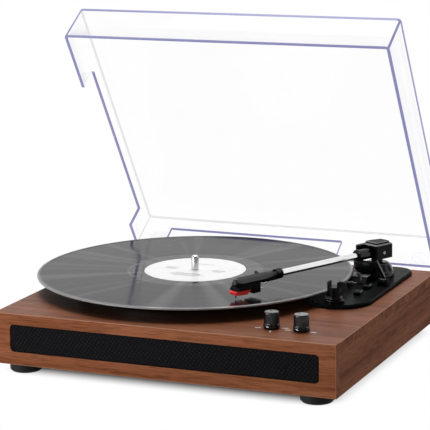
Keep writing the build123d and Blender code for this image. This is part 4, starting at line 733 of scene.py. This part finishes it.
def twill():
    """Near black cloth: diagonal threads both ways, broken up by noise, in slight relief."""
    material, tree, shader, where = blank("speaker cloth")

    def threads(turn):
        """Bands of thread at an angle to the length of the cloth."""
        at = scaled(tree, where, (1, 1, 1), (0, math.radians(turn), 0))
        bands = add(tree, "TexWave", {"bands_direction": "X"}, Vector=at, Scale=105.0, Distortion=2.0)
        return bands.outputs["Fac"]

    uneven = spread(tree, noise(tree, where, 520.0), -0.3, 2.0)
    weave = sums(tree, "MULTIPLY", sums(tree, "MULTIPLY", threads(-35), threads(55)), uneven)
    give(
        tree, shader,
        Base_Color=ramp(tree, weave, [(0.1, (0.005, 0.005, 0.006)), (0.9, (0.013, 0.013, 0.014))]),
        Roughness=spread(tree, weave, 0.95, 0.7),
        Normal=relief(tree, weave, 0.0001, 0.3),
        Specular_IOR_Level=0.06,
    )
    return material


cloth_low, cloth_high = box("grille_cloth")
cloth_w, cloth_h = cloth_high[0] - cloth_low[0] - 0.3, cloth_high[2] - cloth_low[2] - 0.3
CORNER = 3.8
u, v = np.meshgrid(np.linspace(-1, 1, 150), np.linspace(-1, 1, 31))
rise = v * cloth_h / 2
beyond = np.maximum(np.abs(rise) - (cloth_h / 2 - CORNER), 0)
reach = cloth_w / 2 - CORNER + np.sqrt(CORNER**2 - beyond**2)
crown = 0.25 * (1 - u**6) * (1 - v**4)
middle_z = (cloth_low[2] + cloth_high[2]) / 2
cloth_points = np.stack([middle_x + u * reach, cloth_low[1] + 0.3 - crown, middle_z + rise], -1)
cloth_shape = (cloth_points.reshape(-1, 3), quads(31, 150, around=False).tolist())
cloth = make("speaker_cloth", cloth_shape, "plinth", twill(), ["grille_cloth"])
thick = cloth.modifiers.new("thick", "SOLIDIFY")
thick.thickness = 0.0004
thick.offset = -1.0

# %% [markdown]
# The two control knobs are tall and slightly tapered, with a flange at the foot, a thin bright ring above
# it and a bright cap with ridges that run outwards. The grip is fluted: its radius takes a small cosine of
# the angle, which fades out at the flange and at the top, so the flutes start and stop softly.

# %% Knobs


def knob_body(low, high):
    """Radius by height for the flange and the grip; a cosine of the angle flutes the grip."""
    profile = [(7.1, low), (7.4, low + 0.3), (7.4, low + 3.0), (7.15, low + 3.5), (6.98, low + 3.9)]
    profile += [(6.95, low + 4.6), (6.88, low + 7.0), (6.74, low + 10.0)]
    profile += [(6.6, high - 1.6), (6.55, high - 0.9), (6.3, high - 0.35), (6.0, high - 0.25)]
    depth = np.array([0, 0, 0, 0, 0, 0.08, 0.16, 0.16, 0.16, 0.08, 0, 0])
    radius, height = np.array(profile).T
    a = np.linspace(0, 2 * np.pi, 216, endpoint=False)
    r = radius[:, None] - depth[:, None] * (0.5 + 0.5 * np.cos(36 * a))
    z = np.broadcast_to(height[:, None], r.shape)
    return skin(np.stack([r * np.cos(a), r * np.sin(a), z], -1))


def knob(side, turn_joint, heading):
    """A knob on its joint: body, foot ring, a cap whose height waves with the angle, and a pointer."""
    x, y, _ = pivot_of(turn_joint)
    low, high = top_z + 0.5, box(side)[1][2]
    at = (x, y, 0)
    make(side + "_grip", put(knob_body(low, high), at), side, gloss_black, [side])
    foot = soften([(6.8, low + 3.55), (7.16, low + 3.6), (7.16, low + 3.85), (6.8, low + 3.9)], 0.08)
    make(side + "_ring", put(turned(foot, 96, loop=True), at), side, spun_cap)
    a = np.linspace(0, 2 * np.pi, 144, endpoint=False)
    r = np.concatenate([[5.9, 6.02], np.linspace(5.9, 0.4, 16)])[:, None]
    z = high - 0.12 - 0.02 * r + 0.11 * np.cos(18 * a) * np.clip((5.9 - r) / 1.2, 0, 1) * r / 5.9
    z[:2] = [[high - 1.2], [high - 0.5]]
    cap = skin(np.stack([r * np.cos(a), r * np.sin(a), z], -1))
    make(side + "_cap", put(cap, at), side, spun_cap)
    out = np.array([np.cos(heading), np.sin(heading), 0])
    mark = slab(oblong(4.4, 0.8, 0.3, 4), high - 0.4, high, 0.1)
    mark = put(mark, np.array(at) + out * 3.4, out, np.cross(up, out), up)
    make(side + "_pointer", mark, side, gloss_black)


knob("selector_knob", "selector_turn", math.radians(118))
knob("volume_knob", "volume_turn", math.radians(140))

# %% [markdown]
# Round each knob the top board is printed with ticks. They are thin strips that lie on the veneer, set out
# by angle around the knob, and joined into one mesh.

# %% Dial ticks
print_white = surface("printed ticks", (0.78, 0.76, 0.72), (0.90, 0.88, 0.85), 0.45, 1500.0, 0.00001)


def ticks(name, turn_joint, headings):
    """Short strips that point outwards at the headings given, in degrees, round a knob."""
    x, y, _ = pivot_of(turn_joint)
    strip = slab(oblong(5.4, 1.6, 0.4, 3), top_z - 0.05, top_z + 0.05, 0.02, 2)
    outs = [np.array([math.cos(math.radians(h)), math.sin(math.radians(h)), 0]) for h in headings]
    marks = [put(strip, np.array([x, y, 0]) + 12.2 * out, out, np.cross(up, out), up) for out in outs]
    make(name, join(*marks), "plinth", print_white)


ticks("selector_ticks", "selector_turn", [195, 285, 15])
ticks("volume_ticks", "volume_turn", [190, 350])

# %% [markdown]
# The arm is a straight chrome tube in a black sleeve, held at its tilt axis inside the housing. All its
# pieces are drawn in the arm's own axes, along, side and up from the tilt axis, and put in place once.

# %% Arm tube and sleeve
arm_axes = dict(origin=arm_at, x=arm_along, y=arm_side, z=up)


def rod(profile, count=48):
    """Skin of a profile of (distance along the arm, radius) turned about the arm's length."""
    along, radius = np.asarray(profile, float).T
    circle = ring(1.0, count)
    x = np.broadcast_to(along[:, None, None], (len(along), count, 1))
    return skin(np.concatenate([x, radius[:, None, None] * circle], -1))


TUBE_R = 3.05
tube = rod([(6.2, TUBE_R), (40.0, TUBE_R), (90.0, TUBE_R), (134.0, TUBE_R)])
make("chrome_tube", put(tube, **arm_axes), "tonearm", chrome, ["arm_tube"])
sleeve = rod([(4.0, 5.25), (25.4, 5.25), (25.7, 5.75), (27.4, 5.75), (27.8, 5.4), (28.0, 4.6), (28.0, 3.8)])
tilt_block = put(slab(oblong(13.0, 15.2, 1.6), -3.5, 3.5, 0.6), (-0.5, 0, 0))
sleeve_shape = put(join(sleeve, tilt_block), **arm_axes)
make("sleeve", sleeve_shape, "tonearm", gloss_black, ["arm_sleeve"])

# %% [markdown]
# The head is a long shell with sloping flanks. Two outlines, one wide and one narrow, are stacked at five
# heights, so the flanks are ruled between them and catch the light as one strip; its finish also paints them
# grey, a painted highlight. Its finger lift is a flat strip that is carried along a short curve and narrows
# towards its end.

# %% Headshell
neck = [(130.3, -4.0), (138.0, -4.4), (152.3, -7.5), (179.0, -7.5), (183.5, -3.4)]
head_outline = soften(neck + [(x, -y) for x, y in neck[::-1]], 0.9, 4)
head_top = head_outline * [1.0, 0.62] - [0.4, 0.0]
head_levels = [(head_outline, 0.3, -1.2), (head_outline, 0.0, -0.9), (head_outline, 0.0, 0.2)]
head_levels += [(head_top, 0.0, 2.9), (head_top, 0.4, 3.2)]
head = stacked(head_levels)
neck_bar = put(slab(oblong(27.0, 6.4, 1.2), -4.4, -2.2, 0.4), (146.5, 0, 0))
collar = [(126.8, 4.2), (127.2, 4.75), (129.1, 4.8), (129.5, 4.45), (130.1, 4.45), (130.5, 4.8)]
collar = rod(collar + [(133.9, 4.8), (134.3, 4.4)])
hook_s = np.linspace(0, 1, 14)
hook_z = 1.4 - 0.3 * np.sin(np.pi * hook_s) + 1.6 * hook_s**2
hook = np.stack([148.0 + 0.4 * hook_s, -4.0 - 6.4 * hook_s, hook_z], -1)
width = 1.7 - 0.6 * hook_s**2
strip = oblong(2.6, 1.8, 0.6, 3)
hook_rings = np.stack([
    hook[:, None, 0] + strip[None, :, 0] * width[:, None],
    np.broadcast_to(hook[:, None, 1], (14, len(strip))),
    hook[:, None, 2] + strip[None, :, 1],
], -1)
finger = skin(hook_rings)
button = put(turned([(2.2, -1.4), (2.2, 3.3), (1.9, 3.7), (0.4, 3.8)], 32), (182.4, 0, 0))
head_shape = put(join(head, collar, neck_bar), **arm_axes)
# The head's grey flanks and edges are a painted highlight from its finish.
make("head", head_shape, "tonearm", head_black_painted_bevels, ["headshell"])
make("finger_lift", put(finger, **arm_axes), "tonearm", satin_black)
make("head_button", put(button, **arm_axes), "tonearm", button_grey)

# %% [markdown]
# The cartridge and the red stylus are side views carried across. The stylus has a slanted rear and a blunt
# nose. Its plastic lets some light through, and a weak red glow paints that light in. Behind the cartridge
# stand four small pins with their wires, the only bright metal under the head. On each side of the housing a
# pivot screw closes the tilt axis.

# %% Cartridge and stylus


def side_block(corners, half, edge):
    """Side view of corners (along, up), carried across by half each way, with bevelled sides."""
    line = soften(corners, 0.5, 4)
    flat = np.stack([draw_in(line, -i) for i in (edge, 0.0, 0.0, edge)])
    across_y = np.array([-half, edge - half, half - edge, half])[:, None, None]
    across_y = np.broadcast_to(across_y, (4, len(line), 1))
    return skin(np.concatenate([flat[..., :1], across_y, flat[..., 1:]], -1))


stylus_side = [(172.4, -11.6), (184.6, -10.8), (186.2, -8.4), (185.2, -7.1), (167.2, -7.1)]
stylus_body = side_block(stylus_side[::-1], 5.0, 0.3)
case_side = [(157.5, -1.25), (179.6, -1.25), (184.0, -5.6), (184.0, -7.0)]
case_side += [(166.8, -7.0), (166.5, -11.4), (157.5, -11.4)]
case = side_block(case_side, 6.5, 0.3)
make("cartridge_case", put(case, **arm_axes), "tonearm", satin_black, ["cartridge"])
needle_tip = box("stylus")[0][2] - arm_at[2]
needle_at = 182.3
needle = turned([(0.15, needle_tip), (0.6, needle_tip + 1.6), (0.6, -9.0)], 20)
needle = put(needle, (needle_at, 0, 0))
# The red glow of the stylus is painted light.
paint_glow(red, (0.60, 0.015, 0.015), 0.2)
make("stylus_body", put(stylus_body, **arm_axes), "tonearm", red, ["stylus"])
make("needle", put(needle, **arm_axes), "tonearm", satin_black)

# %% Cartridge pins and pivot screws
pin = rod([(152.6, 0.3), (152.8, 0.65), (155.4, 0.65), (155.6, 0.45), (158.1, 0.45)], 16)
pin_at = [(y, z) for y in (-3.2, 3.2) for z in (-4.2, -8.6)]
pins = [put(pin, (0, y, z)) for y, z in pin_at]
wire_s = np.linspace(0, 1, 20)
wire_back = 152.9 - 11.0 * wire_s + 1.4 * np.sin(2 * np.pi * wire_s)


def wire(y, z):
    """Thin wire from a pin back to the neck: it sags by a sine and rises to the underside of the head."""
    side = y + (0.4 * y - y) * wire_s**2
    rise = z + (-0.9 - z) * wire_s**1.5 - 1.2 * np.sin(np.pi * wire_s)
    return tube_along(np.stack([wire_back, side, rise], -1), ring(0.5, 10))


wires = [wire(y, z) for y, z in pin_at]
make("cartridge_pins", put(join(*pins, *wires), **arm_axes), "tonearm", silver)
screw_profile = [(0.8, 0.0), (0.8, 0.2), (0.6, 0.4), (0.3, 0.4), (0.2, 0.2), (0.1, 0.2)]
screw = turned(screw_profile, 40)
housing_half = 10.0
right_screw = put(screw, (0, housing_half, 0), (1, 0, 0), (0, 0, -1), (0, 1, 0))
left_screw = put(screw, (0, -housing_half, 0), (1, 0, 0), (0, 0, 1), (0, -1, 0))
screws = put(join(right_screw, left_screw), **arm_axes)
make("pivot_screws", screws, "arm_carriage", button_grey)

# %% [markdown]
# The housing's cap, the tower and the lift's curved rail show broad highlights, which flat triangles would
# break up, so they are drawn again with rounded edges. The cap carries a raised plate, and the groove
# between its rim and the plate is what shows as a black line. The tower is a lathe shape with a shallow
# scoop in its flank, and the rail is a band between two arcs about the pivot.

# %% Cap
cap_corners = [(10.8, -10.0), (10.8, 10.0), (-11.8, 10.0), (-11.8, -5.5), (3.9, -10.0)]
cap_outline = soften(cap_corners, 2.6, 5)
rim_levels = [(0.4, 7.0), (0.0, 7.2), (0.0, 7.5), (1.7, 8.6)]
cap_rim = stacked([(cap_outline, inset, z) for inset, z in rim_levels])
plate_corners = [(8.6, -8.0), (8.6, 8.0), (-9.6, 8.0), (-9.6, -4.2), (4.0, -8.0)]
plate = soften(plate_corners, 2.2, 5)
cap_plate = stacked([(plate, 0.0, 8.3), (plate, 0.0, 9.9), (plate, 0.9, 10.5)])
cap_lip = put(slab(oblong(10.5, 3.9, 1.2), -2.0, 8.0, 0.5), (14.0, -8.0, 0))
cap_shape = put(join(cap_rim, cap_plate, cap_lip), **arm_axes)
# The cap's finish paints its bevels grey, a painted highlight.
make("cap", cap_shape, "arm_carriage", cap_black_painted_bevels, ["housing_cap"])

# %% Tower
tower_base = box("arm_tower")[0][2]
BORE_R, TOWER_H = 4.7, 14.9
flank = [(16.5, 0.0), (16.5, 4.6), (15.4, 8.0), (13.6, 11.4), (11.6, 13.7), (10.4, 14.7), (8.0, TOWER_H)]
flank = soften(flank, 1.6, 6, closed=False)
tower_profile = np.concatenate([[[BORE_R, 0.0]], flank, [[BORE_R, TOWER_H]]])
tower_r, tower_z = tower_profile.T[:, :, None]
tower_a = np.linspace(0, 2 * np.pi, 160, endpoint=False)
off_scoop = np.abs((tower_a - math.radians(327) + np.pi) % (2 * np.pi) - np.pi) / 0.36
scoop = 1.3 * np.exp(-(off_scoop**6)) * np.exp(-(np.abs((tower_z - 9.3) / 3.2) ** 6))
tower_reach = tower_r - scoop
tower_x, tower_y = tower_reach * np.cos(tower_a), tower_reach * np.sin(tower_a)
tower_rings = np.stack(np.broadcast_arrays(tower_x, tower_y, tower_base + tower_z), -1)
tower_at = (arm_at[0], arm_at[1], 0)
tower_shape = put(skin(tower_rings, loop=True), tower_at)
make("tower", tower_shape, "plinth", gloss_black, ["arm_tower"])
print("tower top", tower_base + TOWER_H, "housing foot", box("arm_housing")[0][2])

# %% Lift rail
rail_high = box("lift_rail")[1][2]
sweep = np.radians(np.linspace(206.0, 286.0, 56))
arc = np.stack([np.cos(sweep), np.sin(sweep)], -1)
rail_z = np.array([-12.2, -12.0, -10.5, -8.5, -6.5, -0.5, -0.15, 0.0])[:, None, None]
rail_in = np.array([2.6, 2.1, 1.0, 0.3, 0.0, 0.0, 0.15, 0.5])[:, None, None]
RAIL_OUT, RAIL_IN = 22.4, 18.4
outer = (RAIL_OUT - rail_in) * arc
inner = (RAIL_IN - rail_in * (rail_z < -5) + rail_in * (rail_z > -5)) * arc[::-1]
rail_flat = np.concatenate([outer, inner], 1)
rail_rise = np.broadcast_to(rail_high + rail_z, (*rail_flat.shape[:2], 1))
rail_band = skin(np.concatenate([rail_flat, rail_rise], -1))
POST_TURN = math.radians(247)
post_at = 20.4 * np.array([math.cos(POST_TURN), math.sin(POST_TURN), 0])
post = put(turned([(2.0, box("lift_rail")[0][2]), (2.0, rail_high - 11.0)], 40), post_at)
make("rail", put(join(rail_band, post), tower_at), "cue_lift", satin_black, ["lift_rail"])

# %% [markdown]
# The arm rest stands on a flared foot with three ribs. The ribs are a lathe ring round the post.

# %% Arm rest ribs
rest_low, rest_high = box("arm_rest")
rest_at = (rest_low[0] + 9.25, (rest_low[1] + rest_high[1]) / 2, deck_z)
ribs = [(6.3, 0.1), (9.25, 0.1), (9.25, 1.4), (8.9, 1.9), (8.2, 2.2), (8.6, 2.7), (8.6, 3.4), (7.5, 4.0)]
ribs += [(7.9, 4.6), (7.9, 5.2), (6.9, 5.8), (7.1, 6.3), (6.6, 7.0), (6.3, 7.0)]
make("rest_ribs", put(turned(ribs, 72, loop=True), rest_at), "plinth", gloss_black)

# %% [markdown]
# The dust cover is one sheet of clear acrylic, moulded as a box that is open below, with a cut-out at the
# left and one at the back for the overhanging record. We lay out one skin, an outline by rows of height,
# leave out the faces of the cut-outs, and let Solidify give the wall its thickness. Cut acrylic gathers
# light at its edges, so the rim gets a second finish with a violet painted glow, and so do the bright
# corners that show as lines. The rear corners get a grey tint, a painted shade that shows as faint grey
# lines. Solidify gives the rim the slot after its face's, and the inner wall the fourth slot after it or the
# last one, so the order of the slots keeps the inner wall clear.

# %% Acrylic finishes


def acrylic(name, dark, light, mirror_most):
    """Clear plastic: seen straight through with a tint, and a mirror that grows towards grazing angles."""
    material, tree, shader, where = blank(name)
    tree.nodes.remove(shader)
    haze = noise(tree, where, 60.0, 4.0)
    clear = add(tree, "BsdfTransparent", Color=ramp(tree, haze, [(0.3, dark), (0.7, light)]))
    polish = spread(tree, haze, 0.02, 0.06)
    mirror = add(tree, "BsdfGlossy", Color=(0.9, 0.9, 0.93, 1.0), Roughness=polish)
    grazing = sums(tree, "POWER", add(tree, "LayerWeight").outputs["Facing"], 5.0)
    sheet = either(tree, spread(tree, grazing, 0.006, mirror_most), clear, mirror)
    plug(tree, tree.nodes["Material Output"].inputs["Surface"], sheet.outputs[0])
    return material


clear_sheet = acrylic("clear acrylic", (0.995, 0.995, 0.997), (1.0, 1.0, 1.0), 0.25)
# The grey tint of the corner finish is painted shade, and the violet glow of the edge finish is painted
# light.
corner_shade_grey = acrylic("acrylic corner painted shade", (0.78, 0.78, 0.79), (0.82, 0.82, 0.83), 0.25)
edge_glow_violet = surface("acrylic edge painted glow", (0.05, 0.05, 0.10), (0.08, 0.08, 0.15), 0.35, 700.0, 0.00002)
paint_glow(edge_glow_violet, (0.25, 0.25, 0.47), 0.8)
print("acrylic ready")

# %% Dust cover
lid_turn = math.radians(joint["lid_hinge"]["range_deg"][1])
LID_W, FRONT, REAR, RIM, TOP = 325.0, -283.5, -5.5, 9.0, 51.0
BEND, EDGE = 4.0, 2.5


def corner(x, y, start):
    """Quarter circle of the bend radius about a corner's centre, from an angle in degrees."""
    a = np.radians(np.linspace(start, start + 90, 9))
    return np.stack([x + BEND * np.cos(a), y + BEND * np.sin(a)], -1)


half_w = LID_W / 2
rear_cut = np.array([[57.4, REAR], [-130.4, REAR]])
left_cut = np.array([[-half_w, -33.8], [-half_w, -217.8], [-half_w, -218.4]])
corners = [corner(-half_w + BEND, FRONT + BEND, 180), corner(half_w - BEND, FRONT + BEND, 270)]
corners += [corner(half_w - BEND, REAR - BEND, 0), rear_cut]
corners += [corner(-half_w + BEND, REAR - BEND, 90), left_cut]
lid_outline = np.concatenate(corners)
t = np.linspace(0, np.pi / 2, 6)
lid_inset = np.concatenate([[0, 0, 0], EDGE * (1 - np.cos(t))])
lid_height = np.concatenate([[RIM, 34.0, TOP - EDGE - 2.4], TOP - EDGE + EDGE * np.sin(t)])
lid_flat = np.stack([draw_in(lid_outline, i) for i in lid_inset])
lid_rise = np.broadcast_to(lid_height[:, None, None], (*lid_flat.shape[:2], 1))
lid_points, lid_faces = skin(np.concatenate([lid_flat, lid_rise], -1))
columns = len(lid_outline)
face_row = np.repeat(np.arange(len(lid_height) - 1), columns)
face_column = np.tile(np.arange(columns), len(lid_height) - 1)
print("cover outline", columns, "rows", len(lid_height))

# %% Cut-outs and bright corners
# Columns count round the outline: 0 to 8 bend at the left front, 9 to 17 at the right front, 18 to 26 at
# the right rear and 29 to 37 at the left rear. Rows count upwards: 0 to 2 are the side, 3 to 7 the top edge.
# A thin strip in front of the left cut-out is faint as well, so the rim beside it comes out clear.
REAR_FACE, LEFT_FACE = 27, 38
cut = (face_row == 0) & ((face_column == REAR_FACE) | (face_column == LEFT_FACE))
on_left = face_column < 8
on_right = (face_column >= 12) & (face_column < 15)
upright_line = (on_left | on_right) & (face_row < 3)
top_line = (face_row >= 2) & (face_column < 18)
faint = (face_row >= 4) & (face_row < 7) & (face_column > 25)
faint |= (face_row < 4) & (face_column > 31) & (face_column < 34)
faint |= (face_row == 0) & (face_column == LEFT_FACE + 1)
# Slot 1 gives faces the violet painted glow of the lines, slot 3 the grey painted shade of the faint
# corners.
BRIGHT_SLOT, FAINT_SLOT = 1, 3
line_slot = BRIGHT_SLOT * (upright_line | top_line) + FAINT_SLOT * faint
kept = np.flatnonzero(~cut)
lid_faces = [lid_faces[i] for i in kept] + [lid_faces[-1]]
lid_slots = np.concatenate([line_slot[kept], [0]])
lid_axes = dict(
    origin=pivot_of("lid_hinge"),
    x=(1, 0, 0),
    y=(0, math.cos(lid_turn), -math.sin(lid_turn)),
    z=(0, math.sin(lid_turn), math.cos(lid_turn)),
)
lid_finishes = [clear_sheet, edge_glow_violet, edge_glow_violet, corner_shade_grey, clear_sheet]
lid_shape = put((lid_points, lid_faces), **lid_axes)
cover = make("cover", lid_shape, "dust_cover", lid_finishes, ["dust_cover"], 60.0)
cover.data.polygons.foreach_set("material_index", lid_slots.astype(np.int32))
wall = cover.modifiers.new("wall", "SOLIDIFY")
wall.thickness = 0.0031
wall.offset = -1.0
wall.use_even_offset = True
wall.material_offset_rim = 1
wall.material_offset = 4
hinge_clear = acrylic("hinge plastic", (0.965, 0.965, 0.98), (0.985, 0.985, 0.99), 0.2)
dress("hinge_leaves", hinge_clear)
dress("hinge_bases", hinge_clear)
print("bright faces", int((lid_slots == BRIGHT_SLOT).sum()))

# %% [markdown]
# On the back the two line sockets carry coloured insulating rings, one red and one white, as such sockets
# do everywhere. The rings are turned about the socket's axis, which points backwards.

# %% Socket rings
panel_y = box("jack_panel")[1][1]
socket_low, socket_high = box("rca_jacks")
socket_z = (socket_low[2] + socket_high[2]) / 2
ring_profile = soften([(4.2, -0.2), (6.0, -0.2), (6.0, 1.2), (4.2, 1.4)], 0.3)
socket_ring = turned(ring_profile, 48, loop=True)
facing_back = dict(x=(1, 0, 0), y=(0, 0, -1), z=(0, 1, 0))
rings = [("left_ring", socket_low[0] + 5.0, nylon), ("right_ring", socket_high[0] - 5.0, red)]
for name, x, finish in rings:
    make(name, put(socket_ring, (x, panel_y, socket_z), **facing_back), "plinth", finish)

# %% [markdown]
# The floor is pale and takes the player's shadow close to the plinth. Further away it shows plain white
# to the eye, as a paper backdrop does.

# %% Floor
HALF_FLOOR = 15.0
floor_corners = np.array([[-1, -1, 0], [1, -1, 0], [1, 1, 0], [-1, 1, 0]]) * HALF_FLOOR
floor_mesh = bpy.data.meshes.new("floor")
floor_mesh.from_pydata(floor_corners.tolist(), [], [[0, 1, 2, 3]])
floor = bpy.data.objects.new("floor", floor_mesh)
bpy.context.scene.collection.objects.link(floor)
print("floor", HALF_FLOOR * 2, "m")

# %% Floor finish
pale_floor, tree, floor_shader, where = blank("studio floor")
pale = ramp(tree, noise(tree, where, 3.0), greys((0.3, 0.86), (0.7, 0.90)))
give(tree, floor_shader, Base_Color=pale, Roughness=0.7, Specular_IOR_Level=0.1)
middle_y = (front_y + rear_y) / 2
SHADOW_IN, SHADOW_WIDE = 0.03, 0.036
from_middle = scaled(tree, where, (1, 1, 0), shift=(-middle_x * MM, -middle_y * MM, 0))
half_size = ((right_x - left_x) / 2 * MM - SHADOW_IN, (rear_y - front_y) / 2 * MM - SHADOW_IN, 0)
beyond_edge = arrows(tree, "SUBTRACT", arrows(tree, "ABSOLUTE", from_middle), half_size)
outside = arrows(tree, "MAXIMUM", beyond_edge, (0.0, 0.0, 0.0))
away = sums(tree, "LENGTH", outside, kind="VectorMath")
smooth = {"interpolation_type": "SMOOTHSTEP"}
clear_of = add(tree, "MapRange", smooth, Value=away, From_Max=SHADOW_WIDE).outputs["Result"]
rays = add(tree, "LightPath").outputs
looked_at = sums(tree, "MAXIMUM", rays["Is Camera Ray"], rays["Is Glossy Ray"])
looked_at = sums(tree, "MAXIMUM", looked_at, rays["Is Transmission Ray"])
paper_white = add(tree, "Emission", Strength=1.0)
floor_mix = either(tree, sums(tree, "MULTIPLY", clear_of, looked_at), floor_shader, paper_white)
plug(tree, tree.nodes["Material Output"].inputs["Surface"], floor_mix.outputs[0])
floor_mesh.materials.append(pale_floor)
print("floor finish ready")
